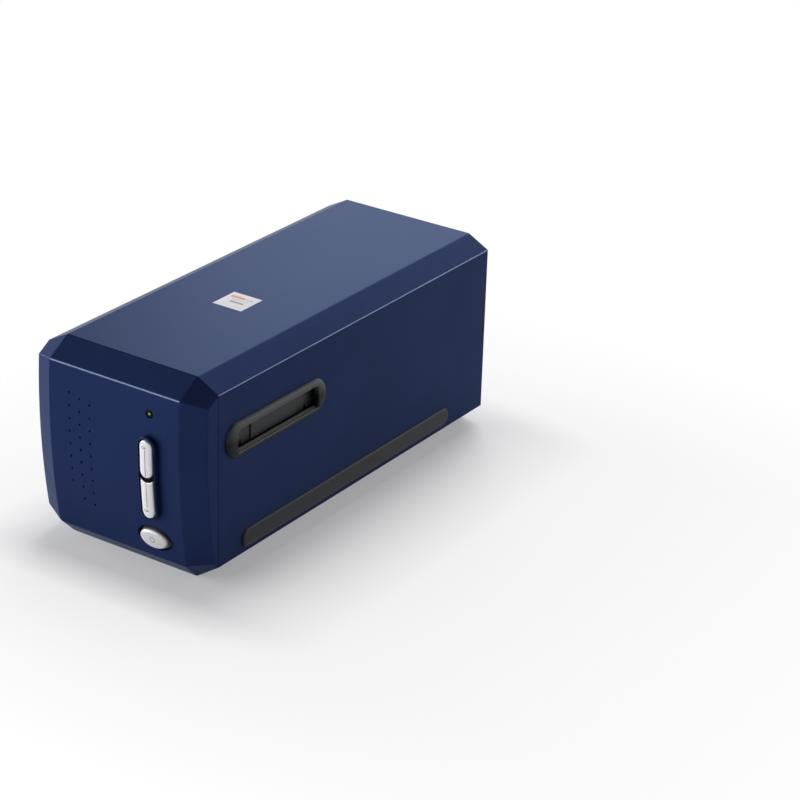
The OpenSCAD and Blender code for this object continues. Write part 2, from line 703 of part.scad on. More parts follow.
module channel_plate(z0, z1, x1) difference() {
    union() {
        block(-channel_x, channel_x, slot_y - channel_side, slot_y + channel_side, z0, z1);
        both_sides() both_ends(slot_y)
            block(ear_x0, x1, channel_side - overlap, ear_side, z0, z1);
    }
    block(-window_x, window_x, slot_y - window_y, slot_y + window_y, z0 - 1, z1 + 1);
    both_sides() for (s = [-1, 1])
        rod_z(rail_screw_x, slot_y + s * rail_screw_y, small_hole_d, z0 - 1, z1 + 1);
}
module film_channel_lower() color([0.13, 0.13, 0.14]) difference() {
    union() {
        channel_plate(slot_z - channel_t, slot_z, ear_x1);
        difference() {
            both_ends(slot_y) {
                block(-channel_x, channel_x, slot_l / 2, channel_side, slot_z - overlap, channel_top);
                both_sides() block(ear_x0, channel_x, channel_side - overlap, ear_side - 1,
                    slot_z - overlap, channel_top);
            }
            both_sides() for (s = [-1, 1])
                rod_z(rail_screw_x, slot_y + s * rail_screw_y, small_hole_d, slot_z - 1, far);
        }
    }
    both_sides() for (y = [post_front_y, post_back_y])
        rod_z(post_x, y, small_hole_d, slot_z - channel_t - 1, slot_z + 1);
}
module film_channel_upper() color([0.13, 0.13, 0.14]) difference() {
    channel_plate(channel_top, channel_top + channel_t, channel_x);
    both_sides() block(spring_x - 2.5, spring_x + 2.5, slot_y - 2, slot_y + 2, channel_top - 1,
        channel_top + channel_t + 1);
}
module holder_springs() color([0.75, 0.76, 0.78]) both_sides() {
    block(spring_x - 3, spring_x + 3, slot_y - 14, slot_y + 14, channel_top + channel_t,
        channel_top + channel_t + spring_t);
    block(spring_x - 2, spring_x + 2, slot_y - 1, slot_y + 1, channel_top - 0.5,
        channel_top + channel_t + spring_t / 2);
}

// ---------- guide rods ----------

clamp_y0 = seam_y + 18;             // inner faces of the two pairs of clamps
clamp_y1 = frame_y1 + 2;
clamp_l = 8;
clamp_foot = 6;
foot_t = 1.6;                       // thickness of every screwed foot
clamp_screw_y0 = clamp_y0 + clamp_foot / 2;
clamp_screw_y1 = clamp_y1 - clamp_foot / 2;
clamp_x0 = rod_x - 6;
clamp_x1 = rod_x + 2.5;

module guide_rods() color([0.78, 0.79, 0.80]) both_sides()
    rod_y(rod_x, rod_z, rod_d, clamp_y0 - clamp_l, clamp_y1 + clamp_l);
module rod_clamps() color([0.13, 0.13, 0.14]) both_sides() difference() {
    union() {
        for (y = [clamp_y0 - clamp_l, clamp_y1]) {
            block(clamp_x0, clamp_x1, y, y + clamp_l, floor_z, rod_z);
            block(clamp_x0 + 1, rod_x + 5, y, y + clamp_l, rod_z - 12, rod_z + 6);
        }
        block(clamp_x0, clamp_x1, clamp_y0 - overlap, clamp_y0 + clamp_foot, floor_z, floor_z + foot_t);
        block(clamp_x0, clamp_x1, clamp_y1 - clamp_foot, clamp_y1 + overlap, floor_z, floor_z + foot_t);
    }
    rod_y(rod_x, rod_z, rod_d + screw_fit, -far / 2, far / 2);
    for (y = [clamp_screw_y0, clamp_screw_y1])
        rod_z(rod_x, y, small_hole_d, floor_z - 1, floor_z + foot_t + 1);
}

// ---------- main board and sockets ----------

board_top = board_z + board_t;
board_x1 = half_w - 4.5;
board_front = back_y - 52;
board_back = back_y - 4;
usb_x = 20;
usb_w = 12;
usb_h = 11;
usb_l = 16;
jack_x = -6;
jack_h = 11;
jack_w = 10;
jack_l = 14;
jack_nose_d = 8.8;
jack_bore_d = 5.6;
lock_x = 17.5 - half_w;
lock_z = 60;
lock_w = 7;
lock_h = 3;
ribbon_y = back_y - 44;
ribbon_r = 7;
ribbon_t = 0.4;
ribbon_w = 24;
ribbon_top = 92;

chip_h = 1.4;
chips = [[-22, 28, 20, 20], [-37, 8, 6, 4], [7, 25, 10, 10]];       // x, y, width and length
cans = [[42, 26, 8, 11], [42, 38, 8, 11], [30, 16, 9, 5]];          // x, y, diameter and height
module main_board() color([0.10, 0.35, 0.20]) difference() {
    block(-board_x1, board_x1, board_front, board_back, board_z, board_top);
    posts_at([board_post_y0, board_post_y1], post_x, small_hole_d, board_z - 1, board_top + 1);
}
module board_parts() color([0.14, 0.14, 0.16]) {
    for (c = chips) block(c[0] - c[2] / 2, c[0] + c[2] / 2, board_front + c[1] - c[3] / 2,
        board_front + c[1] + c[3] / 2, board_top, board_top + chip_h);
    for (c = cans) rod_z(c[0], board_front + c[1], c[2], board_top, board_top + c[3]);
    difference() {
        block(-ribbon_w / 2 - 2, ribbon_w / 2 + 2, ribbon_y - 2, ribbon_y + 2, board_top, board_top + 6);
        block(-ribbon_w / 2 - 0.2, ribbon_w / 2 + 0.2, ribbon_y - 0.3, ribbon_y + 0.3,
            board_top + 2.9, board_top + 7);
    }
}
module usb_socket() color([0.75, 0.76, 0.78]) difference() {
    block(usb_x - usb_w / 2, usb_x + usb_w / 2, panel_y1 - usb_l, panel_y1 - 0.2,
        board_top, board_top + usb_h);
    difference() {
        block(usb_x - usb_w / 2 + 1.8, usb_x + usb_w / 2 - 1.8, panel_y1 - 10, panel_y1 + 1,
            board_top + 1.6, board_top + usb_h - 1.6);
        block(usb_x - 2.8, usb_x + 2.8, panel_y1 - 11, panel_y1 - 1.4,
            board_top + usb_h / 2 - 1.6, board_top + usb_h / 2 + 1.6);
    }
}
module power_jack() color([0.10, 0.10, 0.11]) {
    difference() {
        union() {
            block(jack_x - jack_w / 2, jack_x + jack_w / 2, panel_y0 - 0.3 - jack_l, panel_y0 - 0.3,
                board_top, board_top + jack_h);
            rod_y(jack_x, board_top + jack_h / 2, jack_nose_d, panel_y0 - 1, panel_y1 - 0.2);
        }
        rod_y(jack_x, board_top + jack_h / 2, jack_bore_d, panel_y1 - 10, panel_y1 + 1);
    }
    rod_y(jack_x, board_top + jack_h / 2, 2, panel_y1 - 10.5, panel_y1 - 1.2);
}
// Flat cable bent over from the carriage's rear wall to the main board, drawn at rest
module ribbon_cable() color([0.80, 0.80, 0.76]) {
    mid_y = ribbon_y - ribbon_r;
    difference() {
        translate([-ribbon_w / 2, mid_y, ribbon_top]) rotate([0, 90, 0])
            cylinder(r = ribbon_r + ribbon_t / 2, h = ribbon_w);
        translate([-ribbon_w / 2 - 1, mid_y, ribbon_top]) rotate([0, 90, 0])
            cylinder(r = ribbon_r - ribbon_t / 2, h = ribbon_w + 2);
        block(-ribbon_w, ribbon_w, mid_y - 2 * ribbon_r, mid_y + 2 * ribbon_r, 0, ribbon_top);
    }
    block(-ribbon_w / 2, ribbon_w / 2, ribbon_y - ribbon_t / 2, ribbon_y + ribbon_t / 2,
        board_top + 3, ribbon_top);
    block(-ribbon_w / 2, ribbon_w / 2, mid_y - ribbon_r - ribbon_t / 2, mid_y - ribbon_r + ribbon_t / 2,
        optic_z + 2, ribbon_top);
}

// ---------- drive ----------

axle_d = 4;
axle_small_d = 3;
mesh_play = 0.15;
drive_x = 0;
drive_y = back_y - 34;
reach_1 = gear_m * (small_n + pulley_n) / 2 + mesh_play;
reach_2 = gear_m * (pinion_n + reducer_n) / 2 + mesh_play;
mesh_turn = -30;
reducer_x = drive_x - reach_1 * cos(mesh_turn);
reducer_y = drive_y - reach_1 * sin(mesh_turn);
motor_x = reducer_x - reach_2;
motor_y = reducer_y;
motor_h = 26;
shaft_d = 2;
wheel_z = floor_z + axle_boss_h + 0.4;      // underside of the wheels
belt_z0 = wheel_z + 1.1;
belt_h = 6;
belt_t = 1;
flange_r = belt_r + 1.5;
gear_z = belt_z0 + belt_h + 0.9;            // underside of the pulley's gear
gear_h = 4;
big_gear_z = gear_z + gear_h + 0.5;
big_gear_h = 3;
plate_z = big_gear_z + big_gear_h + 2;      // underside of the motor plate
plate_z1 = plate_z + 2;
idler_y = seam_y + 24;
idler_pin_d = 3;
idler_screw_x = 12;
idler_screw_y = idler_y - 6.5;
hook_y = seam_y + 7;
hook_t = 1.6;
hook_hole = 2;
spring_z = 8;
bracket_t = 1.6;
bracket_x0 = 13.5 - half_w;         // edges of the motor plate
bracket_x1 = 23.6;
bracket_y0 = drive_y - 10;
bracket_y1 = drive_y + 25.6;
left_leg_x = bracket_x0 + 2;
leg_w = 12;
foot_reach = 5.5;                   // how far each foot stands out from its leg
right_leg_x = bracket_x1 - bracket_t;
right_leg_y = bracket_y0 + 2;
right_leg_l = 16;
rear_leg_x = left_leg_x + leg_w;
rear_leg_w = 14;
rear_leg_y = bracket_y1 - bracket_t;
bracket_screws = [[left_leg_x + 6, bracket_y0 - 2.8],
    [right_leg_x + foot_reach, right_leg_y + right_leg_l / 2],
    [rear_leg_x + rear_leg_w / 2, back_y - 6]];

// Spur gear outline with straight sided teeth, one of them at the angle turn
module gear_outline(n, turn) {
    r = gear_m * n / 2;
    root = r - 1.25 * gear_m;
    half = 90 / n * 0.93;           // half a tooth at the pitch circle, in degrees
    circle(root, $fn = 4 * n);
    for (i = [0:n - 1]) rotate(turn + i * 360 / n) polygon([
        [root - 0.3, -root * sin(half * 1.5)], [r, -r * sin(half)],
        [r + gear_m * 0.9, -r * sin(half * 0.5)], [r + gear_m * 0.9, r * sin(half * 0.5)],
        [r, r * sin(half)], [root - 0.3, root * sin(half * 1.5)]]);
}
module belt_form(r) {
    for (y = [drive_y, idler_y]) translate([drive_x, y]) circle(r);
    translate([drive_x - r, idler_y]) square([2 * r, drive_y - idler_y]);
}
module drive_belt() color([0.10, 0.10, 0.11]) along_z(belt_z0, belt_z0 + belt_h) difference() {
    belt_form(belt_r + belt_t / 2);
    belt_form(belt_r - belt_t / 2);
}
module wheel(x, y, top) {
    rod_z(x, y, 2 * flange_r, wheel_z, belt_z0 - 0.2);
    rod_z(x, y, 2 * (belt_r - belt_t / 2 - run_fit), wheel_z, top);
    rod_z(x, y, 2 * flange_r, belt_z0 + belt_h + 0.2, gear_z);
}
module drive_pulley() color([0.88, 0.88, 0.86]) difference() {
    union() {
        wheel(drive_x, drive_y, gear_z + 0.5);
        translate([drive_x, drive_y]) along_z(gear_z, gear_z + gear_h)
            gear_outline(pulley_n, mesh_turn + 180 + 180 / pulley_n);
        rod_z(drive_x, drive_y, axle_d + 3, gear_z, plate_z - 0.4);
    }
    rod_z(drive_x, drive_y, axle_d + 2 * run_fit, 0, far);
}
module reduction_gear() color([0.88, 0.88, 0.86]) difference() {
    union() {
        translate([reducer_x, reducer_y]) {
            along_z(gear_z, big_gear_z + 0.4) gear_outline(small_n, mesh_turn);
            along_z(big_gear_z, big_gear_z + big_gear_h)
                gear_outline(reducer_n, 180 + 180 / reducer_n);
        }
        rod_z(reducer_x, reducer_y, axle_small_d + 2.2, wheel_z, gear_z + overlap);
        rod_z(reducer_x, reducer_y, axle_small_d + 3, big_gear_z, plate_z - 0.4);
    }
    rod_z(reducer_x, reducer_y, axle_small_d + 2 * run_fit, 0, far);
}
module motor_pinion() color([0.80, 0.68, 0.40]) {
    translate([motor_x, motor_y]) along_z(big_gear_z - 0.4, big_gear_z + big_gear_h + 0.4)
        gear_outline(pinion_n, 0);
    rod_z(motor_x, motor_y, shaft_d, big_gear_z - 0.4, plate_z1 + 6);
}
module idler_pulley() color([0.88, 0.88, 0.86]) difference() {
    wheel(drive_x, idler_y, gear_z);
    rod_z(drive_x, idler_y, idler_pin_d + 2 * run_fit, 0, far);
}
module gear_axles() color([0.75, 0.76, 0.78]) {
    rod_z(drive_x, drive_y, axle_d - screw_fit, case_base + blind, plate_z1);
    rod_z(reducer_x, reducer_y, axle_small_d - screw_fit, case_base + blind, plate_z1);
}
module stepper_motor() color([0.62, 0.63, 0.65]) difference() {
    translate([motor_x - motor_w / 2, motor_y - motor_w / 2, plate_z1]) {
        cube([motor_w, motor_w, 4]);
        translate([1, 1, 3]) cube([motor_w - 2, motor_w - 2, motor_h - 6]);
        translate([0, 0, motor_h - 5]) cube([motor_w, motor_w, 5]);
    }
    rod_z(motor_x, motor_y, shaft_d + 2 * run_fit, 0, plate_z1 + 7);
    for (y = [-1, 1]) rod_z(motor_x - motor_w / 3, motor_y + y * motor_w / 3, small_hole_d,
        0, plate_z1 + 4);
}
module motor_bracket() color([0.70, 0.71, 0.73]) difference() {
    union() {
        block(bracket_x0, bracket_x1, bracket_y0, bracket_y1, plate_z, plate_z1);
        block(left_leg_x, left_leg_x + leg_w, bracket_y0, bracket_y0 + bracket_t,
            floor_z, plate_z + overlap);
        block(left_leg_x + overlap, left_leg_x + leg_w, bracket_y0 - foot_reach, bracket_y0 + overlap,
            floor_z, floor_z + foot_t);
        block(right_leg_x, bracket_x1, right_leg_y, right_leg_y + right_leg_l,
            floor_z, plate_z + overlap);
        block(right_leg_x, bracket_x1 + foot_reach + 2.4, right_leg_y, right_leg_y + right_leg_l,
            floor_z, floor_z + foot_t);
        block(rear_leg_x, rear_leg_x + rear_leg_w, rear_leg_y, bracket_y1, floor_z, plate_z + overlap);
        block(rear_leg_x, rear_leg_x + rear_leg_w, rear_leg_y, panel_y0 - 0.4,
            floor_z, floor_z + foot_t);
    }
    for (p = bracket_screws) rod_z(p[0], p[1], small_hole_d, floor_z - 1, floor_z + foot_t + 1);
    rod_z(drive_x, drive_y, axle_d, plate_z - 1, plate_z1 + 1);
    rod_z(reducer_x, reducer_y, axle_small_d, plate_z - 1, plate_z1 + 1);
    rod_z(motor_x, motor_y, 9, plate_z - 1, plate_z1 + 1);
    for (y = [-1, 1]) rod_z(motor_x - motor_w / 3, motor_y + y * motor_w / 3, small_hole_d,
        plate_z - 1, plate_z1 + 1);
}
tab_up_y = idler_y - 12.2;
module idler_bracket() color([0.70, 0.71, 0.73]) difference() {
    union() {
        block(-9, 9, idler_y - 12, idler_y + 8, floor_z, floor_z + foot_t);
        block(-15, 15, idler_y - 10, idler_y - 3, floor_z, floor_z + foot_t);
        block(-4, 4, tab_up_y, tab_up_y + 1.2, floor_z, spring_z + 3);
        rod_z(drive_x, idler_y, idler_pin_d, floor_z, gear_z + 0.3);
    }
    both_sides() rod_z(idler_screw_x, idler_screw_y, small_hole_d, floor_z - 1, floor_z + foot_t + 1);
    rod_y(0, spring_z, hook_hole, tab_up_y - 1, tab_up_y + 2);
}
idler_spring_turns = 4;
idler_spring_w = 0.3;
module idler_spring() color([0.75, 0.76, 0.78]) {
    y0 = hook_y + hook_t / 2 + 0.05;
    l = tab_up_y - 0.05 - y0 - 2 * idler_spring_w;
    translate([0, y0, spring_z]) coil(1.9, idler_spring_w, l / idler_spring_turns, idler_spring_turns);
}
sensor_x = frame_x - 7;
sensor_y = frame_y1 - 3;
flag_t = 0.8;
module home_sensor() color([0.10, 0.10, 0.11]) difference() {
    block(sensor_x - 6, sensor_x + 6, sensor_y - 5, sensor_y + 5, floor_z, floor_z + 8);
    block(sensor_x - 1, sensor_x + 1, sensor_y - 6, sensor_y + 6, floor_z + 2.6, floor_z + 9);
}

// ---------- optical carriage, drawn at its rear stop ----------

frame_z0 = 14.5;
frame_z1 = 62;
frame_t = 2;
lid_t = 1.5;
lid_y1 = frame_y1 - 12;
scan_y = frame_y0 + 16;             // plane of the scanned line
lens_y = (frame_y0 + frame_y1) / 2 + 8;
lug_r = 6;
lug_l = 14;
lug_y = [frame_y0 + 10, frame_y1 - 28];
bush_d = 8;
lid_post_x = frame_x - 4.5;
lid_post_y = [frame_y0 + 4.5, lid_y1 - 5];
mirror_w = 2 * frame_x - 22;
mirror_l = 34;
mirror_t = 1.6;
lens_seat_x = 16;                   // half width of the block that holds the lens barrel
lens_seat_l = 12;
belt_clip_y = frame_y0 + 44;
belt_clip_l = 14;
belt_clip_w = 7.5;
pin_x = frame_x - 11;               // screws and pins of the lamp column and the sensor board
chip_y = frame_y1 - 11.5;
chip_l = 3.5;
sensor_board_y = chip_y + chip_l;

module carriage_frame() color([0.14, 0.14, 0.15]) difference() {
    union() {
        difference() {
            block(-frame_x, frame_x, frame_y0, frame_y1, frame_z0, frame_z1);
            block(-frame_x + frame_t, frame_x - frame_t, frame_y0 + frame_t, frame_y1 - frame_t,
                frame_z0 + frame_t, frame_z1 + 1);
        }
        both_sides() {
            for (y = lug_y) {
                rod_y(rod_x, rod_z, 2 * lug_r, y, y + lug_l);
                block(frame_x - frame_t / 2, rod_x, y, y + lug_l, rod_z - lug_r, rod_z + lug_r);
            }
            for (y = lid_post_y) rod_z(lid_post_x, y, 6, frame_z0 + 1, frame_z1);
            along_x(mirror_w / 2 - 6, mirror_w / 2 - 2) polygon([
                [frame_y0 + 1, frame_z0 + 1],
                [scan_y + mirror_l * 0.34, frame_z0 + 1],
                [scan_y + mirror_l * 0.34, optic_z - mirror_l * 0.34 - mirror_t * sqrt(2)],
                [scan_y - mirror_l * 0.34, optic_z + mirror_l * 0.34 - mirror_t * sqrt(2)],
                [frame_y0 + 1, optic_z + mirror_l * 0.34 - mirror_t * sqrt(2)]]);
            for (z = [optic_z - 14, optic_z + 14])
                rod_y(pin_x, z, 5, sensor_board_y + board_t, frame_y1 - frame_t + overlap);
        }
        block(-lens_seat_x, lens_seat_x, lens_y, lens_y + lens_seat_l, frame_z0 + 1, optic_z + 16);
        block(belt_r - belt_clip_w / 2 + 0.25, belt_r + belt_clip_w / 2 + 0.25, belt_clip_y,
            belt_clip_y + belt_clip_l, wheel_z - 0.5, frame_z0 + overlap);
        block(sensor_x - flag_t / 2, sensor_x + flag_t / 2, sensor_y - 3, sensor_y + 2,
            floor_z + 3.6, frame_z0 + overlap);
        block(-ribbon_w / 2 - 2, ribbon_w / 2 + 2, frame_y1 - overlap, frame_y1 + 1.7, optic_z, optic_z + 6);
    }
    both_sides() {
        for (y = lug_y) rod_y(rod_x, rod_z, bush_d, y - 1, y + lug_l + 1);
        for (y = lid_post_y) rod_z(lid_post_x, y, small_hole_d, frame_z1 - 9, far);
    }
    rod_y(0, optic_z, barrel_d + screw_fit, lens_y - 1, lens_y + lens_seat_l + 1);
    block(belt_r - belt_t / 2 - 0.3, belt_r + belt_t / 2 + 0.3, belt_clip_y - 1,
        belt_clip_y + belt_clip_l + 1, 0, belt_z0 + belt_h + 0.3);
}
module rod_bushes() color([0.80, 0.68, 0.40]) both_sides() for (y = lug_y) difference() {
    rod_y(rod_x, rod_z, bush_d - screw_fit, y, y + lug_l);
    rod_y(rod_x, rod_z, rod_d + 2 * run_fit, y - 1, y + lug_l + 1);
}
column_gap = 2.1;
column_y = slot_y + channel_side + travel + column_gap;     // front of the lamp column
column_foot = 14;
column_t = 6;
column_screw_y = column_y + 10;
house_screw_y = column_y + column_t / 2;
module carriage_cover() color([0.14, 0.14, 0.15]) difference() {
    block(-frame_x, frame_x, frame_y0, lid_y1, frame_z1, frame_z1 + lid_t);
    block(-window_x - 2, window_x + 2, scan_y - 3, scan_y + 3, frame_z1 - 1, frame_z1 + 3);
    both_sides() {
        for (y = lid_post_y) rod_z(lid_post_x, y, small_hole_d, frame_z1 - 1, frame_z1 + 3);
        rod_z(pin_x, column_screw_y, small_hole_d, frame_z1 - 1, frame_z1 + 3);
    }
}
module carriage_mirror() color([0.85, 0.88, 0.90]) translate([0, scan_y, optic_z]) rotate([-45, 0, 0])
    translate([-mirror_w / 2, -mirror_l / 2, -mirror_t]) cube([mirror_w, mirror_l, mirror_t]);
barrel_y0 = lens_y - 8;
barrel_y1 = lens_y + 20;
glass_d = barrel_d - 4;
glass_t = 2.6;
module lens_barrel() color([0.10, 0.10, 0.11]) difference() {
    union() {
        rod_y(0, optic_z, barrel_d, barrel_y0, barrel_y1);
        rod_y(0, optic_z, barrel_d + 3, barrel_y0, barrel_y0 + 4);
    }
    rod_y(0, optic_z, glass_d - 2.5, barrel_y0 - 1, barrel_y1 + 1);
    for (y = [barrel_y0 - 1, barrel_y1 - glass_t - 0.4])
        rod_y(0, optic_z, glass_d, y, y + glass_t + 1.4);
}
glass_y = (barrel_y1 - barrel_y0) / 2 - 0.4;
glass_r = (glass_d - screw_fit) / 2;
glass_fall = 1.7;                   // how much thinner each lens is at its edge
module lens_glass() color([0.70, 0.80, 0.90]) both_ends((barrel_y0 + barrel_y1) / 2)
    translate([0, glass_y - glass_t, optic_z]) rotate([-90, 0, 0]) rotate_extrude()
        polygon(concat([[0, 0], [glass_r, 0]], [for (i = [10:-1:0])
            [glass_r * i / 10, glass_t - glass_fall * i * i / 100]]));
module sensor_board() color([0.10, 0.35, 0.20])
    block(-pin_x - 4, pin_x + 4, sensor_board_y, sensor_board_y + board_t, optic_z - 18, optic_z + 18);
module sensor_chip() color([0.20, 0.20, 0.24])
    block(2 - pin_x, pin_x - 2, chip_y, chip_y + chip_l, optic_z - 4.5, optic_z + 4.5);

// Lamp over the film, carried round behind the channel by the column
lamp_z0 = channel_top + channel_t + 1.7;
lamp_z1 = lamp_z0 + 15;
lamp_x = frame_x - 5;
lamp_t = 4;
lamp_gap = 26;
lid_z = frame_z1 + lid_t;
lamp_front = scan_y - lamp_gap / 2;
module lamp_column() color([0.14, 0.14, 0.15]) difference() {
    union() {
        block(-lamp_x, lamp_x, column_y, column_y + column_t, lid_z, lamp_z1 - lamp_t);
        block(-lamp_x, lamp_x, column_y, column_y + column_foot, lid_z, lid_z + 2);
    }
    both_sides() rod_z(pin_x, column_screw_y, small_hole_d, lid_z - 1, lid_z + 3);
    both_sides() rod_z(pin_x, house_screw_y, small_hole_d, lamp_z1 - lamp_t - 6, far);
}
module lamp_house() color([0.14, 0.14, 0.15]) difference() {
    block(-lamp_x, lamp_x, lamp_front - lamp_t, column_y + column_t, lamp_z0, lamp_z1);
    block(-far, far, lamp_front, lamp_front + lamp_gap, lamp_z0 - 1, lamp_z1 - lamp_t);
    block(-far, far, lamp_front + lamp_gap + lamp_t, far, lamp_z0 - 1, lamp_z1 - lamp_t);
    both_sides() rod_z(pin_x, house_screw_y, small_hole_d, lamp_z0, far);
    block(-far, far, lamp_front - 1, lamp_front + lamp_gap + 1, lamp_z0 + 1, lamp_z0 + 1 + diffuser_t);
}
diffuser_t = 1.5;
module lamp_diffuser() color([0.92, 0.93, 0.95]) block(-lamp_x + 2, lamp_x - 2, lamp_front - 0.9,
    lamp_front + lamp_gap + 0.9, lamp_z0 + 1, lamp_z0 + 1 + diffuser_t);
module lamp_board() color([0.85, 0.86, 0.88]) {
    block(-lamp_x + 3, lamp_x - 3, scan_y - 9, scan_y + 9, lamp_z1 - lamp_t - board_t, lamp_z1 - lamp_t);
    for (i = [-2:2]) block(i * 9 - 2, i * 9 + 2, scan_y - 2, scan_y + 2,
        lamp_z1 - lamp_t - board_t - 1, lamp_z1 - lamp_t - board_t);
}

// ---------- screws ----------

module screws_up(points, z, d, length) both_sides() for (p = points) translate([p[0], p[1], z])
    mirror([0, 0, 1]) screw(d, length);
module screws_down(points, z, length) both_sides() for (p = points) translate([p[0], p[1], z])
    screw(small_screw_d, length);
head_h = small_screw_d * 0.6;
module case_screws() color([0.30, 0.31, 0.33]) {
    top = case_base + head_in - screw_d * 0.6;
    screws_up([[tab_x, tab_front], [tab_x, tab_back]], top, screw_d, tab_z + tab_h - top);
    low = case_base + head_in_low - screw_d * 0.6;
    screws_up([[bezel_tab_x, bezel_tab_y]], low, screw_d, floor_z + case_fit + bezel_tab_h - low);
}
module rear_screws() color([0.30, 0.31, 0.33]) both_sides()
    for (p = [[rear_screw_x, rear_screw_z], [rear_screw_low_x, rear_screw_low_z]])
        translate([p[0], panel_y1, p[1]]) rotate([-90, 0, 0]) screw(small_screw_d, boss_len - 1);
module inner_screws() color([0.55, 0.56, 0.58]) {
    screws_down([[post_x, post_front_y], [post_x, post_back_y]], slot_z + head_h, 9);
    screws_down([[post_x, board_post_y0], [post_x, board_post_y1]], board_top + head_h, 8);
    screws_down([for (s = [-1, 1]) [rail_screw_x, slot_y + s * rail_screw_y]],
        channel_top + channel_t + head_h, 9);
    foot_top = floor_z + foot_t + head_h;
    foot_screw = foot_top - case_base - 0.5;
    screws_down([[rod_x, clamp_screw_y0], [rod_x, clamp_screw_y1], [idler_screw_x, idler_screw_y]],
        foot_top, foot_screw);
    for (p = bracket_screws) translate([p[0], p[1], foot_top]) screw(small_screw_d, foot_screw);
    for (p = board_posts) translate([p[0], board_y0 + board_t + head_h, p[1]]) rotate([-90, 0, 0])
        screw(small_screw_d, 8);
    for (s = [-1, 1]) translate([motor_x - motor_w / 3, motor_y + s * motor_w / 3, plate_z - head_h])
        mirror([0, 0, 1]) screw(small_screw_d, 7);
}
module carriage_screws() color([0.55, 0.56, 0.58]) {
    screws_down([for (y = lid_post_y) [lid_post_x, y]], lid_z + head_h, 9);
    screws_down([[pin_x, column_screw_y]], lid_z + 2 + head_h, 2 + head_h + lid_t);
    screws_down([[pin_x, house_screw_y]], lamp_z1 + head_h, head_h + lamp_t + 5);
}

top_cover();
bottom_tray();
front_bezel();
rear_panel();
rubber_feet();
rating_plate();
top_label();
slot_bezel_right();
slot_bezel_left();
side_strip_right();
side_strip_left();
indicator_lens();
button_board();
button_switches();
film_channel_lower();
film_channel_upper();
holder_springs();
door_springs();
guide_rods();
rod_clamps();
main_board();
board_parts();
usb_socket();
power_jack();
stepper_motor();
motor_bracket();
gear_axles();
drive_belt();
idler_bracket();
idler_spring();
home_sensor();
ribbon_cable();
case_screws();
rear_screws();
inner_screws();
scan_button_upper();
scan_button_lower();
power_button();
dust_door_right();
dust_door_left();
door_pin_right();
door_pin_left();
carriage_frame();
carriage_cover();
rod_bushes();
carriage_mirror();
lens_barrel();
lens_glass();
sensor_board();
sensor_chip();
lamp_column();
lamp_house();
lamp_board();
lamp_diffuser();
carriage_screws();
motor_pinion();
reduction_gear();
drive_pulley();
idler_pulley();
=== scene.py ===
import json
import math

import bmesh
import bpy
import numpy as np
from mathutils import Matrix, Vector

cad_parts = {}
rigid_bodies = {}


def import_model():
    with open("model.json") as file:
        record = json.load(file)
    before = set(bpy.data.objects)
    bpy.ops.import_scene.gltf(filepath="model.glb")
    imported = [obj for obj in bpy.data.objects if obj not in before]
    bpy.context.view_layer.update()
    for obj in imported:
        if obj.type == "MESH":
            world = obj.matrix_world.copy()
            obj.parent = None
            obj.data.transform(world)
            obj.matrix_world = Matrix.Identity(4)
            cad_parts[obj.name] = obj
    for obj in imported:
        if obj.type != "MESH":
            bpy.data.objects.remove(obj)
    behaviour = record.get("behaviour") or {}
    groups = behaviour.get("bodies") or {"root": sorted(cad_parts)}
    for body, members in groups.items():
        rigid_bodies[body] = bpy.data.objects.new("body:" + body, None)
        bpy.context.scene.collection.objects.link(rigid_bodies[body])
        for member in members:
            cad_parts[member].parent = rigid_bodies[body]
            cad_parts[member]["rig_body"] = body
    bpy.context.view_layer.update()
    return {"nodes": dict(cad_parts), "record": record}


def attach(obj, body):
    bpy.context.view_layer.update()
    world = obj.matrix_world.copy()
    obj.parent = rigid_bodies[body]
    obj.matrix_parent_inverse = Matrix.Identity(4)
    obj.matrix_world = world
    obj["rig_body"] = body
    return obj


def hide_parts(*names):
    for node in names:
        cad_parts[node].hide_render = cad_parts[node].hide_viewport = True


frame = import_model()
nodes = frame["nodes"]
mm = 0.001
print("frame loaded:", len(nodes), "nodes")


class Val:
    # A shader value or colour socket that can be used in Python sums
    def __init__(self, tree, socket):
        self.tree = tree
        self.socket = socket

    def make(self, kind, settings=None, inputs=None, out=0):
        return makeNode(self.tree, kind, settings, inputs, out)

    def sum(self, operation, *others):
        return self.make("ShaderNodeMath", {"operation": operation}, [self, *others])

    def __add__(self, other):
        return self.sum("ADD", other)

    def __sub__(self, other):
        return self.sum("SUBTRACT", other)

    def __mul__(self, other):
        return self.sum("MULTIPLY", other)

    def __truediv__(self, other):
        return self.sum("DIVIDE", other)

    def __rsub__(self, other):
        return self.make("ShaderNodeMath", {"operation": "SUBTRACT"}, [other, self])

    __radd__ = __add__
    __rmul__ = __mul__

    def abs(self):
        return self.sum("ABSOLUTE")

    def reach(self, other):
        # Length of the two as a right angle's sides
        return (self * self + other * other).sum("SQRT")

    def least(self, other):
        return self.sum("MINIMUM", other)

    def most(self, other):
        return self.sum("MAXIMUM", other)

    def below(self, edge):
        return self.sum("LESS_THAN", edge)

    def above(self, edge):
        return self.sum("GREATER_THAN", edge)

    def clamp(self):
        return self.make("ShaderNodeClamp", {}, [self, 0.0, 1.0])

    def ramp(self, low, high):
        # 0 up to low, 1 from high on, and even between them
        return self.make("ShaderNodeMapRange", {"clamp": True}, [self, low, high, 0.0, 1.0])


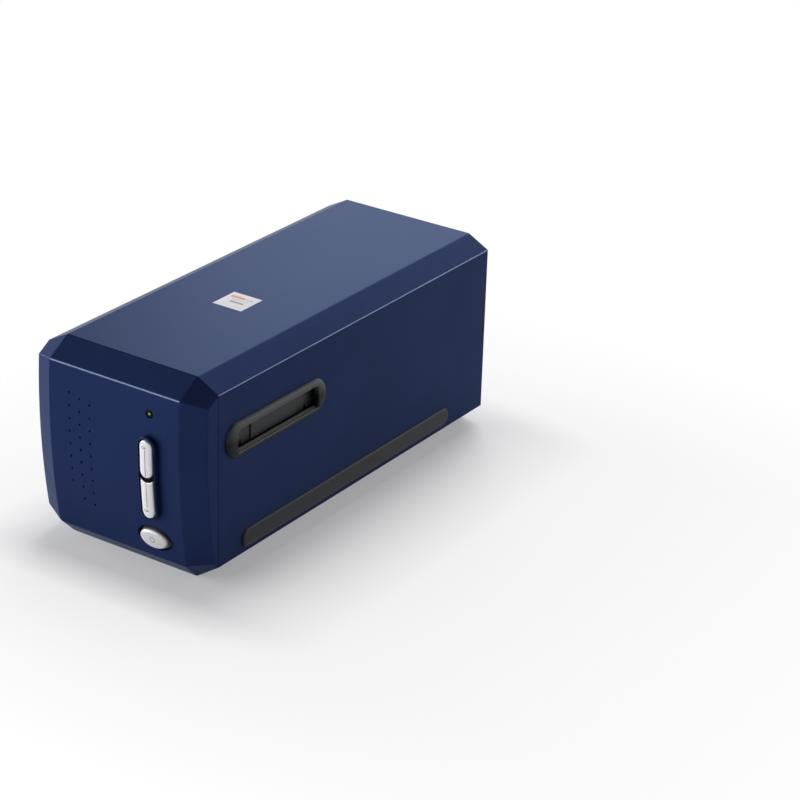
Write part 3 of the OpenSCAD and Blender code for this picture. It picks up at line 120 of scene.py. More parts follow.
def makeNode(tree, kind, settings=None, inputs=None, out=0):
    # inputs is a list in the order of the sockets, or a dictionary by their names or numbers
    node = tree.nodes.new(kind)
    for key, value in (settings or {}).items():
        setattr(node, key, value)
    pairs = inputs.items() if isinstance(inputs, dict) else enumerate(inputs or [])
    for key, value in pairs:
        if isinstance(value, Val):
            tree.links.new(value.socket, node.inputs[key])
        else:
            node.inputs[key].default_value = value
    return Val(tree, node.outputs[out])


def srgb(r, g, b):
    # Linear colour from levels of 0 to 255
    return tuple((c / 255 / 12.92) if c <= 10 else ((c / 255 + 0.055) / 1.055) ** 2.4 for c in (r, g, b))


def rgba(colour):
    return (*colour, 1.0)


class Finish:
    # One material: its Object coordinates, noises and Principled shader
    def __init__(self, name, colour, roughness, **sockets):
        self.material = bpy.data.materials.new(name)
        self.material.use_nodes = True
        self.tree = self.material.node_tree
        self.tree.nodes.clear()
        self.shader = self.tree.nodes.new("ShaderNodeBsdfPrincipled")
        output = self.tree.nodes.new("ShaderNodeOutputMaterial")
        self.tree.links.new(self.shader.outputs[0], output.inputs["Surface"])
        self.shader.inputs["Base Color"].default_value = rgba(colour)
        self.shader.inputs["Roughness"].default_value = roughness
        for key, value in sockets.items():
            self.shader.inputs[key.replace("_", " ")].default_value = value
        self.place = makeNode(self.tree, "ShaderNodeTexCoord", out="Object")
        axes = [makeNode(self.tree, "ShaderNodeSeparateXYZ", {}, [self.place], out=k) for k in range(3)]
        self.x, self.y, self.z = axes

    def noise(self, size, detail=2.0, stretch=(1, 1, 1)):
        # size is the width of one patch in millimetres
        scaled = self.place.make("ShaderNodeVectorMath", {"operation": "MULTIPLY"},
                                 [self.place, tuple(1.0 / s for s in stretch)])
        return scaled.make("ShaderNodeTexNoise", {},
                           {"Vector": scaled, "Scale": 1000.0 / size, "Detail": detail})

    def mix(self, factor, a, b):
        a = a if isinstance(a, Val) else rgba(a)
        b = b if isinstance(b, Val) else rgba(b)
        return makeNode(self.tree, "ShaderNodeMix", {"data_type": "RGBA"}, {0: factor, 6: a, 7: b}, out=2)

    def edges(self, low=0.52, high=0.60):
        # 1 on sharp outer corners
        return makeNode(self.tree, "ShaderNodeNewGeometry", out="Pointiness").ramp(low, high)

    def mark(self, name):
        return makeNode(self.tree, "ShaderNodeAttribute", {"attribute_name": name}, out="Fac")

    def ray(self, name):
        return makeNode(self.tree, "ShaderNodeLightPath", out=name)

    def link(self, key, value):
        self.tree.links.new(value.socket, self.shader.inputs[key])

    def glow(self, share, colour):
        # Blends an even light of that colour in, by the given share
        emission = makeNode(self.tree, "ShaderNodeEmission", {}, {"Color": rgba(colour)})
        blend = makeNode(self.tree, "ShaderNodeMixShader", {}, {0: share, 2: emission})
        self.tree.links.new(self.shader.outputs[0], blend.socket.node.inputs[1])
        self.tree.links.new(blend.socket, self.tree.nodes["Material Output"].inputs["Surface"])

    def bump(self, height, depth):
        # depth in millimetres
        settings = {"Distance": depth * mm, "Height": height}
        self.link("Normal", makeNode(self.tree, "ShaderNodeBump", {}, settings))


# rubGain and rubLift make the lighter crease colour, for wear and for painted highlights, where no colour is
# given
plastic = {"cloudLow": 0.35, "cloudHigh": 0.65, "rubGain": 1.7, "rubLift": 0.02, "cloudRough": 0.08,
           "grainRough": 0.06, "rubSmooth": 0.25}
metal = {"line": 0.12, "patch": 9.0, "patchLow": 0.3, "patchHigh": 0.7, "dull": 0.88, "lineRough": 0.25,
         "depth": 0.004}


def moulded(name, colour, roughness, grain, depth, patch, wear=0.0, clouds=0.12, rub=None, paint=None,
            **sockets):
    # Moulded plastic: faint clouds patch mm wide, a fine grain of a size and depth in mm, and creases made
    # lighter and smoother, as wear and as a painted highlight. wear is how far other outer corners share in
    # that.
    q = plastic
    own = srgb(*colour)
    f = Finish(name, own, roughness, **sockets)
    cloud = f.noise(patch, 3.0)
    lighter = tuple(min(1.0, c * (1 + clouds)) for c in own)
    darker = tuple(c * (1 - clouds) for c in own)
    rubbedAndLit = srgb(*rub) if rub else tuple(min(1.0, c * q["rubGain"] + q["rubLift"]) for c in own)
    base = f.mix(cloud.ramp(q["cloudLow"], q["cloudHigh"]), darker, lighter)
    # Outer corners found by pointiness are wear; the crease mark also carries painted highlights
    crease = f.mark("crease")
    wornAndLit = (f.edges() * wear).most(crease) if wear else crease
    base = f.mix(wornAndLit, base, rubbedAndLit)
    f.link("Base Color", paint(f, base) if paint else base)
    fine = f.noise(grain)
    rough = (cloud - 0.5) * q["cloudRough"] + (fine - 0.5) * q["grainRough"] + roughness
    f.link("Roughness", rough - wornAndLit * q["rubSmooth"])
    f.bump(fine, depth)
    return f


def brushed(name, colour, roughness, stretch=(1, 1, 30)):
    # Metal with fine drawing lines along its long axis and duller patches
    q = metal
    own = srgb(*colour)
    f = Finish(name, own, roughness, Metallic=1.0)
    lines = f.noise(q["line"], 2.0, stretch)
    patches = f.noise(q["patch"]).ramp(q["patchLow"], q["patchHigh"])
    f.link("Base Color", f.mix(patches, tuple(c * q["dull"] for c in own), own))
    f.link("Roughness", (lines - 0.5) * q["lineRough"] + roughness)
    f.bump(lines, q["depth"])
    return f


# Places that the finishes and the shapes share, in millimetres: the buttons' holes in the bezel, the
# middle of the groove from the column of buttons, the lamp, the bezel's seam and the slot's middle
places = {"column": 24.4, "keyLow": 37.0, "keyHigh": 83.4, "keyRadius": 4.25, "split": 61.3,
          "powerZ": 23.0, "powerA": 10.2, "powerB": 6.1, "lampZ": 97.2, "grooveX": 0.1, "seamY": -118.0,
          "slotY": -68.4}
# Painted shade: its colour and depth, the seam's half width, and how far it reaches round the buttons and
# the power button's hole
shade = {"colour": (4, 5, 14), "depth": 0.9, "seam": 0.16, "keys": 5.1, "keysDepth": 0.9, "keysY": -134.2,
         "power": 1.17, "powerY": -126.0}


def casingPaintedShade(f, base):
    # Painted shade along the parting line between bezel and casing, and in the gaps round the buttons
    k, q = places, shade
    x, y, z = f.x * 1000.0 - k["column"], f.y * 1000.0, f.z * 1000.0
    seam = (y - k["seamY"]).abs().below(q["seam"])
    low, high = k["keyLow"] + k["keyRadius"], k["keyHigh"] - k["keyRadius"]
    fromKeys = x.reach(z - z.most(low).least(high))
    ring = fromKeys.below(q["keys"]) * y.below(q["keysY"])
    fromPower = (x / k["powerA"]).reach((z - k["powerZ"]) / k["powerB"])
    hole = fromPower.below(q["power"]) * y.below(q["powerY"])
    return f.mix(seam.most(ring * q["keysDepth"]).most(hole) * q["depth"], base, srgb(*q["colour"]))


# marks: one colour for the painted shade in the groove and for the printed icons and power mark, and a
# darker silver on the power button as painted shade; gap: painted shade on the power button's side wall and
# in the split between the scan buttons
marks = {"line": (64, 65, 70), "lineDepth": 0.75, "grooveHalf": 0.15, "grooveZ": 61.0, "grooveReach": 17.0,
         "iconZ": (41.7, 79.2), "iconX": -1.2, "ring": 0.75, "ringHalf": 0.16, "dotX": 1.4, "dot": 0.5,
         "dotDepth": 0.95, "power": (230, 230, 233), "powerTop": 31.0, "powerRing": 1.55, "powerHalf": 0.2,
         "notchZ": 0.6, "notchHalf": 0.75, "barZ": 1.2, "barReach": 0.95}
gap = {"colour": (38, 40, 56), "wallIn": 0.83, "wallOut": 0.92, "wallDepth": 0.85, "splitOut": 6.72,
       "splitLow": 56.0, "splitHigh": 63.0, "splitDepth": 0.95}


def buttonMarks(f, base):
    # Painted shade down the groove of the scan buttons, a printed ring and dot at their outer ends, and a
    # plain printed power mark
    k, q = places, marks
    x, z = f.x * 1000.0 - k["column"], f.z * 1000.0
    groove = (x - k["grooveX"]).abs().below(q["grooveHalf"])
    printAndGrooveShade = groove * (z - q["grooveZ"]).abs().below(q["grooveReach"]) * q["lineDepth"]
    for at in q["iconZ"]:
        u, w = x - q["iconX"], z - at
        ring = (u.reach(w) - q["ring"]).abs().below(q["ringHalf"])
        dot = (u - q["dotX"]).reach(w).below(q["dot"])
        printAndGrooveShade = printAndGrooveShade.most(ring * q["lineDepth"]).most(dot * q["dotDepth"])
    w = z - k["powerZ"]
    notch = w.above(q["notchZ"]) * x.abs().below(q["notchHalf"])
    mark = (x.reach(w) - q["powerRing"]).abs().below(q["powerHalf"]) * (1.0 - notch)
    mark = mark.most(x.abs().below(q["powerHalf"]) * (w - q["barZ"]).abs().below(q["barReach"]))
    # The power button is painted a slightly darker silver than the scan buttons, as painted shade
    onPower = z.below(q["powerTop"])
    base = f.mix(onPower, base, srgb(*q["power"]))
    # The power button's side wall and the split between the scan buttons lie in shade
    wall = (x / k["powerA"]).reach(w / k["powerB"]).ramp(gap["wallIn"], gap["wallOut"]) * onPower
    fromBall = x.reach(z - k["split"] - k["keyRadius"])
    split = fromBall.above(k["keyRadius"]) * fromBall.below(gap["splitOut"])
    split = split * z.below(gap["splitHigh"]) * z.above(gap["splitLow"])
    base = f.mix((wall * gap["wallDepth"]).most(split * gap["splitDepth"]), base, srgb(*gap["colour"]))
    return f.mix(printAndGrooveShade.most(mark * onPower * q["lineDepth"]), base, srgb(*q["line"]))


# The slot's painted light, shade and highlight: where each lies, its colour and how deep it is
sill = {"low": 72.6, "high": 74.35, "reach": 36.5, "outX": 59.0, "inX": 56.3, "pale": (204, 206, 196),
        "paleDepth": 0.85, "dark": (14, 15, 16), "edgeLow": 73.15, "edgeHigh": 73.9, "edgeReach": 35.0,
        "edgeX": 59.2, "edge": (132, 134, 130), "edgeDepth": 0.7, "upperLow": 80.5, "upperHigh": 90.0,
        "upperX": 57.0, "upper": (112, 116, 116)}


def sillPaintedLightShade(f, base):
    # Painted light and shade on the slot: painted light on the lower sill with a painted highlight along its
    # thin outer edge, painted shade on its inner part next to the door, and painted light on the upper half
    # of the rim
    q = sill
    x, along, z = f.x.abs(), (f.y * 1000.0 - places["slotY"]).abs(), f.z * 1000.0
    onSill = z.above(q["low"]) * z.below(q["high"]) * along.below(q["reach"]) * x.below(q["outX"] * mm)
    edge = z.above(q["edgeLow"]) * z.below(q["edgeHigh"]) * x.above(q["edgeX"] * mm)
    edge = edge * along.below(q["edgeReach"])
    upper = z.ramp(q["upperLow"], q["upperHigh"]) * x.above(q["upperX"] * mm)
    base = f.mix(upper, base, srgb(*q["upper"]))
    base = f.mix(onSill * q["paleDepth"], base, srgb(*q["pale"]))
    base = f.mix(onSill * x.below(q["inX"] * mm), base, srgb(*q["dark"]))
    return f.mix(edge * q["edgeDepth"], base, srgb(*q["edge"]))


# The indicator's painted glint: its glowing colour, offset, narrowing and radius, and the dark rim round it
indicator = {"core": (182, 216, 84), "coreX": 0.15, "coreZ": 0.1, "narrow": 1.2, "coreRadius": 0.95,
             "rimRadius": 1.2, "rim": (4, 6, 10)}


def lensPaintedGlint(f, base):
    # Painted glint: an off-centre core of the indicator that glows, fading evenly outwards, inside its dark
    # rim
    q = indicator
    u, w = f.x * 1000.0 - places["column"], f.z * 1000.0 - places["lampZ"]
    core = (1.0 - (u * q["narrow"] - q["coreX"]).reach(w - q["coreZ"]) / q["coreRadius"]).clamp()
    f.link("Emission Color", f.mix(core, (0, 0, 0), srgb(*q["core"])))
    return f.mix(u.reach(w).above(q["rimRadius"]), base, srgb(*q["rim"]))


plastics = {
    # The casing's lighter crease colour is the painted highlight along its side edges and along the top of
    # the face
    "casing_blue": dict(name="casingNavy", colour=(36, 49, 90), roughness=0.35, grain=0.3, depth=0.004,
                        patch=60.0, clouds=0.05, rub=(122, 134, 168), paint=casingPaintedShade, Metallic=0.3,
                        IOR=1.07, Specular_Tint=(0.8, 0.9, 1.0, 1.0)),
    "bezel_grey": dict(name="bezelGrey", colour=(26, 27, 29), roughness=0.34, grain=0.4, depth=0.012,
                       patch=18.0, paint=sillPaintedLightShade, IOR=1.2),
    "strip_grey": dict(name="stripGrey", colour=(39, 42, 46), roughness=0.4, grain=0.4, depth=0.012,
                       patch=18.0, IOR=1.3),
    "door_grey": dict(name="doorGrey", colour=(30, 33, 36), roughness=0.36, grain=0.45, depth=0.015,
                      patch=14.0, IOR=1.3),
    "button_silver": dict(name="buttonSilver", colour=(248, 248, 250), roughness=0.3, grain=0.25,
                          depth=0.003, patch=9.0, clouds=0.02, paint=buttonMarks, Metallic=0.15),
    # The lens glows only where its painted glint lies
    "lens_green": dict(name="lensGreen", colour=(8, 26, 10), roughness=0.3, grain=1.0, depth=0.002,
                       patch=3.0, paint=lensPaintedGlint, IOR=1.15, Emission_Strength=1.0),
    "rubber_black": dict(name="rubberBlack", colour=(24, 24, 25), roughness=0.75, grain=0.5, depth=0.03,
                         patch=8.0),
    "black_plastic": dict(name="blackPlastic", colour=(26, 26, 28), roughness=0.5, grain=0.5, depth=0.02,
                          patch=12.0, wear=0.35),
    "white_plastic": dict(name="whitePlastic", colour=(222, 221, 214), roughness=0.45, grain=0.5,
                          depth=0.01, patch=10.0, wear=0.1),
    "chip_black": dict(name="chipBlack", colour=(30, 30, 34), roughness=0.18, grain=0.6, depth=0.004,
                       patch=6.0, wear=0.1),
    "diffuser_white": dict(name="diffuserWhite", colour=(236, 238, 241), roughness=0.55, grain=0.4,
                           depth=0.01, patch=12.0),
    "lens_glass": dict(name="lensGlass", colour=(206, 222, 240), roughness=0.03, grain=2.0, depth=0.001,
                       patch=12.0, Transmission_Weight=0.9)}
metals = {
    "plate_silver": dict(name="plateSilver", colour=(190, 192, 196), roughness=0.35, stretch=(40, 1, 1)),
    "steel": dict(name="drawnSteel", colour=(176, 178, 182), roughness=0.28),
    "screw_steel": dict(name="screwSteel", colour=(92, 93, 97), roughness=0.34),
    "brass": dict(name="turnedBrass", colour=(196, 158, 92), roughness=0.3),
    "mirror": dict(name="frontMirror", colour=(226, 230, 235), roughness=0.04, stretch=(60, 1, 1))}

board = {"mask": (18, 74, 42), "darkMask": (16, 66, 38), "track": (34, 104, 60), "pad": (188, 186, 176),
         "run": 3.0, "stretch": 6, "trackHalf": 0.035, "crossHalf": 0.03, "padScale": 260.0, "padSize": 0.16,
         "roughness": 0.34, "padSmooth": 0.1, "height": 0.03}


def boardFinish(q):
    # Circuit board: solder mask over copper runs that step along both axes, with tinned pads
    f = Finish("boardGreen", srgb(*q["mask"]), q["roughness"])
    runs = f.noise(q["run"], 0.0, (q["stretch"], 1, 1)) - 0.5
    crossRuns = f.noise(q["run"], 0.0, (1, q["stretch"], q["stretch"])) - 0.5
    track = runs.abs().below(q["trackHalf"]).most(crossRuns.abs().below(q["crossHalf"]))
    cells = f.place.make("ShaderNodeTexVoronoi", {}, {"Vector": f.place, "Scale": q["padScale"]})
    pads = cells.below(q["padSize"])
    f.link("Base Color", f.mix(pads, f.mix(track, srgb(*q["darkMask"]), srgb(*q["track"])), srgb(*q["pad"])))
    f.link("Roughness", pads * -q["padSmooth"] + q["roughness"])
    f.bump(track + pads, q["height"])
    return f


# The label's middle on the casing, and from there each patch: middle and half size in x, then in y
label = {"x": -0.3, "y": -27.4, "bar": (-2.6, 4.9, 4.7, 1.25), "tail": (5.3, 2.3, 4.5, 0.75),
         "rules": (1.0, 5.4, 1.4, 0.4), "band": (0.8, 4.4, -1.6, 1.0), "orange": (228, 120, 40),
         "grey": (96, 92, 84), "ink": (52, 50, 66), "paper": (226, 226, 230), "pale": (240, 240, 243),
         "roughness": 0.55, "dashes": 0.9, "shift": 0.3, "gap": 0.2, "barLeast": 0.6, "barDash": 0.3,
         "greyDepth": 0.5, "inkDepth": 0.75, "fibre": 3.0, "grain": 0.25, "depth": 0.004}


def labelFinish(q):
    # Small generic label: an orange bar above a few grey rules on white paper, broken into dashes
    f = Finish("labelWhite", srgb(*q["paper"]), q["roughness"])
    u, v = f.x * 1000.0 - q["x"], f.y * 1000.0 - q["y"]

    def patch(name):
        midU, halfU, midV, halfV = q[name]
        return (v - midV).abs().below(halfV) * (u - midU).abs().below(halfU)

    dash = (u * q["dashes"] + q["shift"]).sum("FRACT").above(q["gap"])
    base = f.mix(f.noise(q["fibre"], 3.0).ramp(0.3, 0.7), srgb(*q["paper"]), srgb(*q["pale"]))
    base = f.mix(patch("bar") * (dash * q["barDash"] + q["barLeast"]), base, srgb(*q["orange"]))
    base = f.mix(patch("tail").most(patch("rules")) * dash * q["greyDepth"], base, srgb(*q["grey"]))
    f.link("Base Color", f.mix(patch("band") * dash * q["inkDepth"], base, srgb(*q["ink"])))
    f.link("Roughness", f.noise(0.6) * 0.1 + (q["roughness"] - 0.1))
    f.bump(f.noise(q["grain"]), q["depth"])
    return f


finishes = {slot: moulded(**settings) for slot, settings in plastics.items()}
finishes.update({slot: brushed(**settings) for slot, settings in metals.items()})
finishes["board_green"] = boardFinish(board)
finishes["label_white"] = labelFinish(label)
slotOf = {row["node"]: row["material_slot"] for row in frame["record"]["subparts"]}
for name, obj in nodes.items():
    obj.data.materials.clear()
    obj.data.materials.append(finishes[slotOf[name]].material)
print("finishes made:", len(finishes))

# Tolerances in millimetres and degrees: corners closer than merge join, faces within flat of each other
# become one, normals within shade blend, and faces over large square millimetres keep their own
soften = {"merge": 0.002, "flat": 0.25, "shade": 25.0, "large": 12.0, "onSurface": 4.0}


def addPiece(name, mesh, node):
    # Puts a mesh in place of a CAD node, on its body and with its finish
    obj = bpy.data.objects.new(name, mesh)
    bpy.context.scene.collection.objects.link(obj)
    mesh.materials.append(finishes[slotOf[node]].material)
    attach(obj, nodes[node]["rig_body"])
    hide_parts(node)


def readMesh(items, key, kind, width=1):
    # One value, or one row of width values, for each of a mesh's items
    values = np.empty(len(items) * width, kind)
    items.foreach_get(key, values)
    return values if width == 1 else values.reshape(-1, width)


def cosine(degrees):
    return math.cos(math.radians(degrees))


def roundNormals(mesh, within, exact=()):
    # Corner normals as the mean of the neighbouring faces within an angle in degrees, weighted by their
    # area. Large flat faces keep their own, and faces on one of the exact surfaces take its normal.
    loopVert = readMesh(mesh.loops, "vertex_index", int)
    total = readMesh(mesh.polygons, "loop_total", int)
    normal = readMesh(mesh.polygons, "normal", float, 3)
    middle = readMesh(mesh.polygons, "center", float, 3)
    area = readMesh(mesh.polygons, "area", float)
    smooth = readMesh(mesh.polygons, "use_smooth", bool)
    place = readMesh(mesh.vertices, "co", float, 3)[loopVert] / mm
    loopFace = np.repeat(np.arange(len(total)), total)
    # Each row of the table lists the corners that meet at one vertex
    order = np.argsort(loopVert, kind="stable")
    rank = np.arange(len(loopVert)) - np.searchsorted(loopVert[order], loopVert[order])
    table = np.full((len(mesh.vertices), rank.max() + 1), -1)
    table[loopVert[order], rank] = order
    own = normal[loopFace]
    corner = np.zeros((len(loopVert), 3))
    for column in table.T:
        other = column[loopVert]
        face = loopFace[other]
        near = (own * normal[face]).sum(1) > cosine(within)
        corner += (near & (other >= 0))[:, None] * area[face][:, None] * normal[face]
    flat = (~smooth & (area > soften["large"] * mm * mm))[loopFace]
    corner[flat] = own[flat]
    for surface in exact:
        on = ((surface(middle / mm) * normal).sum(1) > cosine(soften["onSurface"]))[loopFace]
        corner[on] = surface(place[on])
    length = np.linalg.norm(corner, axis=1, keepdims=True)
    corner = np.where(length > 0, corner / np.maximum(length, 1e-12), own)
    mesh.polygons.foreach_set("use_smooth", [True] * len(mesh.polygons))
    mesh.normals_split_custom_set(corner.tolist())


def softCopy(node, rules, exact=(), lift=None):
    # Merged copy of a CAD node whose creases are rounded. Each rule: width in mm, steps, how far the crease
    # is painted lighter, as wear and as a painted highlight (a number, or a function of a place), and a test
    # on an edge's middle and angle.
    # lift is a test on a vertex's place and how many millimetres such vertices rise.
    bm = bmesh.new()
    bm.from_mesh(nodes[node].data)
    bmesh.ops.remove_doubles(bm, verts=bm.verts, dist=soften["merge"] * mm)
    bmesh.ops.dissolve_limit(bm, angle_limit=math.radians(soften["flat"]), verts=bm.verts, edges=bm.edges)
    rubbedAndLit = bm.faces.layers.float.new("crease")
    for face in bm.faces:
        face.smooth = False
    if lift:
        test, rise = lift
        bmesh.ops.translate(bm, verts=[v for v in bm.verts if test(v.co / mm)], vec=(0, 0, rise * mm))
    for width, steps, rubbingAndLight, test in rules:
        creases = [e for e in bm.edges if len(e.link_faces) == 2
                   and test((e.verts[0].co + e.verts[1].co) / (2 * mm), math.degrees(e.calc_face_angle(0)))]
        made = bmesh.ops.bevel(bm, geom=creases, offset=width * mm, offset_type="OFFSET", segments=steps,
                               profile=0.5, affect="EDGES", clamp_overlap=False, harden_normals=False)
        for face in made["faces"]:
            face[rubbedAndLit] = rubbingAndLight(face.calc_center_median() / mm) if callable(rubbingAndLight) else rubbingAndLight
            face.smooth = True
        bmesh.ops.remove_doubles(bm, verts=bm.verts, dist=soften["merge"] * mm / 2)
    mesh = bpy.data.meshes.new(node + ".soft")
    bm.to_mesh(mesh)
    bm.free()
    roundNormals(mesh, soften["shade"], exact)
    addPiece(node + ".soft", mesh, node)


def dressed(name, node, shell, cut=None, within=35.0):
    # New piece in place of a CAD node: the shell (points in mm, faces) plus, behind the cutting
    # plane (point in mm, normal), what the CAD node keeps there
    points, faces = shell
    bm = bmesh.new()
    if cut:
        bm.from_mesh(nodes[node].data)
        bmesh.ops.remove_doubles(bm, verts=bm.verts, dist=soften["merge"] * mm)
        bmesh.ops.bisect_plane(bm, geom=bm.verts[:] + bm.edges[:] + bm.faces[:], clear_outer=True,
                               plane_co=[c * mm for c in cut[0]], plane_no=cut[1])
        bmesh.ops.triangle_fill(bm, use_beauty=True, normal=cut[1],
                                edges=[e for e in bm.edges if e.is_boundary])
    mesh = bpy.data.meshes.new(name + ".shell")
    mesh.from_pydata((np.asarray(points) * mm).tolist(), [], faces)
    part = bmesh.new()
    part.from_mesh(mesh)
    bmesh.ops.remove_doubles(part, verts=part.verts, dist=soften["merge"] * mm / 2)
    bmesh.ops.dissolve_degenerate(part, edges=part.edges, dist=1e-7)
    bmesh.ops.recalc_face_normals(part, faces=part.faces)
    for face in part.faces:
        face.smooth = len(face.verts) < 5  # the many-sided end faces stay flat
    part.to_mesh(mesh)
    part.free()
    bm.from_mesh(mesh)
    bpy.data.meshes.remove(mesh)
    mesh = bpy.data.meshes.new(name)
    bm.to_mesh(mesh)
    bm.free()
    roundNormals(mesh, within)
    addPiece(name, mesh, node)


def ringFaces(count, size, closed=False):
    # Quads between successive closed rings of points; closed joins the last ring to the first
    i = np.arange(count if closed else count - 1)[:, None]
    j = np.arange(size)[None, :]
    i1, j1 = (i + 1) % count, (j + 1) % size
    quads = np.stack([i * size + j, i * size + j1, i1 * size + j1, i1 * size + j], axis=-1)
    return quads.reshape(-1, 4).tolist()


def roundBox(a, b, radius, steps=10):
    # Closed outline of a box of half sizes a and b with round corners: a quarter circle in each
    turn = np.linspace(0, math.pi / 2, steps)
    parts = []
    for k, (sx, sy) in enumerate(((1, 1), (-1, 1), (-1, -1), (1, -1))):
        angle = turn + k * math.pi / 2
        parts.append(np.stack([sx * (a - radius) + radius * np.cos(angle),
                               sy * (b - radius) + radius * np.sin(angle)], axis=1))
    return np.concatenate(parts)


def boxDistance(p, a, b, radius):
    # Distance of points from that outline, negative inside it
    q = np.abs(p) - (a - radius, b - radius)
    return np.linalg.norm(np.maximum(q, 0), axis=1) + np.minimum(q.max(axis=1), 0) - radius


def edgeDrop(distance, radius):
    # How far a rounded edge falls at a distance inside it: a quarter circle of that radius
    t = np.clip(1 - distance / radius, 0, 1)
    return radius * (1 - np.sqrt(np.maximum(1 - t * t, 0)))


# Casing: shoulder and keel are the width and height of the slopes above and below the sides; the crease
# between a side and its shoulder gets a painted highlight
casing = {"halfWidth": 57.5, "top": 118.5, "base": 1.0, "backY": 138.0, "shoulder": (13.5, 7.2),
          "keel": (14.5, 9.8), "crease": 12, "rimAngle": 40, "edge": 0.7, "sideEdge": 0.38, "sideHighlight": 0.85,
          "lip": 0.28}


def outside(p, slack=0.05):
    # True for a point (in mm) on the outer skin of the casing's cross section
    x, z = abs(p.x), p.z
    onSide = abs(x - casing["halfWidth"]) < slack
    onTop = abs(z - casing["top"]) < slack
    onBase = abs(z - casing["base"]) < slack
    w, h = casing["shoulder"]
    onShoulder = abs((x - casing["halfWidth"] + w) / w + (z - casing["top"]) / h) < slack / h
    w, h = casing["keel"]
    onKeel = abs((x - casing["halfWidth"] + w) / w + (casing["base"] - z) / h) < slack / h
    return onSide or onTop or onBase or onShoulder or onKeel


def betweenEnds(p, margin):
    middle = (casing["backY"] + places["seamY"]) / 2
    return abs(p.y - middle) < casing["backY"] - middle - margin


def lengthwise(p, angle):
    # Creases of the top and the base along the casing
    turns = [casing["halfWidth"] - casing[k][0] for k in ("shoulder", "keel")]
    onTurn = min(abs(abs(p.x) - x) for x in turns) < 0.1
    return angle > casing["crease"] and onTurn and outside(p) and betweenEnds(p, 2.0)


def sideEdge(p, angle):
    # Crease between a side and its shoulder, which gets a painted highlight
    onLevel = abs(p.z - casing["top"] + casing["shoulder"][1]) < 0.1
    onSide = abs(p.x) > casing["halfWidth"] - 0.5
    return angle > casing["crease"] and onLevel and onSide and betweenEnds(p, 0.1)


def rimEdge(p, angle):
    # Outer edges at both ends of the casing
    onEnd = min(abs(p.y - places["seamY"]), abs(p.y - casing["backY"])) < 0.02
    return angle > casing["rimAngle"] and onEnd and outside(p)


# The crease between each side and its shoulder is painted lighter as a painted highlight
for half in ("top_cover", "bottom_tray"):
    softCopy(half, [(casing["edge"], 4, 0.0, lengthwise),
                    (casing["sideEdge"], 4, casing["sideHighlight"], sideEdge),
                    (casing["lip"], 2, 0.0, rimEdge)])

# Front bezel: a barrel of that radius about z, between the edges at edgeX, with sloping cheeks
face = {"front": -134.0, "radius": 400.0, "z": 80.4, "edgeX": 44.0, "cheekRun": 6.8, "rimHeight": 3.2,
        "keyProud": 0.8, "crease": 5, "brow": 108.6, "foot": 12.0, "edge": 0.55, "topHighlight": 0.85,
        "topLow": 107.0, "topHigh": 111.0, "topX": 43.7, "topY": -131.5, "holeA": 10.7, "holeB": 6.6,
        "collarAngle": 50, "collar": 0.5}


def faceCrease(p, angle):
    # Creases between the face, its slopes and cheeks
    x, z = abs(p.x), p.z
    aroundFace = x > face["edgeX"] - 0.8 or z > face["brow"] or z < face["foot"]
    before = p.y <= places["seamY"] - 0.05
    return angle >= face["crease"] and before and aroundFace and x < casing["halfWidth"] + 0.1


def faceTop(p):
    # The crease along the top of the face gets a painted highlight
    onTop = face["topLow"] < p.z < face["topHigh"] and abs(p.x) < face["topX"] and p.y < face["topY"]
    return face["topHighlight"] if onTop else 0.0


def faceY(z):
    # y of the bulging front face at height z
    return face["front"] + face["radius"] - np.sqrt(face["radius"] ** 2 - (z - face["z"]) ** 2)


def faceNormal(p):
    n = np.stack([p[:, 0] * 0, p[:, 1] - face["front"] - face["radius"], p[:, 2] - face["z"]], axis=1)
    return n / np.linalg.norm(n, axis=1, keepdims=True)


def cheekNormal(side):
    # Normal of the bulging cheek: the face's barrel turned about the face's edge
    turn = math.atan(face["cheekRun"] / (casing["halfWidth"] - face["edgeX"]))
    inward = np.array([-math.sin(turn) * side, math.cos(turn), 0])

    def normal(p):
        q = p - np.array([face["edgeX"] * side, face["front"], face["z"]])
        depth = q @ inward - face["radius"] / math.cos(turn)
        n = depth[:, None] * inward + q[:, 2:3] * np.array([0, 0, 1])
        return n / np.linalg.norm(n, axis=1, keepdims=True)
    return normal


def collarEdge(p, angle):
    # Front edges of the raised collar round the scan buttons, and of the power button's hole
    onCollar = p.y < faceY(p.z) - face["rimHeight"] + 0.05
    u, w = (p.x - places["column"]) / face["holeA"], (p.z - places["powerZ"]) / face["holeB"]
    onHole = abs(u * u + w * w - 1) < 0.06 and abs(p.y - faceY(p.z)) < 0.12
    return angle > face["collarAngle"] and (onCollar or onHole)


softCopy("front_bezel", [(face["edge"], 4, faceTop, faceCrease), (casing["lip"], 2, 0.0, rimEdge),
                         (face["collar"], 4, 0.0, collarEdge)],
         exact=(faceNormal, cheekNormal(1), cheekNormal(-1)))
print("casing rounded")

# Scan buttons: step is the gap between the two, grooveEnds the groove's ends next to the split
keys = {"radius": 4.1, "top": 83.25, "split": 61.45, "low": 37.15, "step": 2.6, "crown": 12.0, "edge": 0.8,
        "groove": 0.45, "grooveWidth": 0.24, "grooveLow": 43.6, "grooveHigh": 78.2,
        "grooveEnds": (-2.2, 0.9), "fade": 0.8, "columns": 44, "rows": 110, "upperBack": -132.2,
        "lowerBack": -130.8}


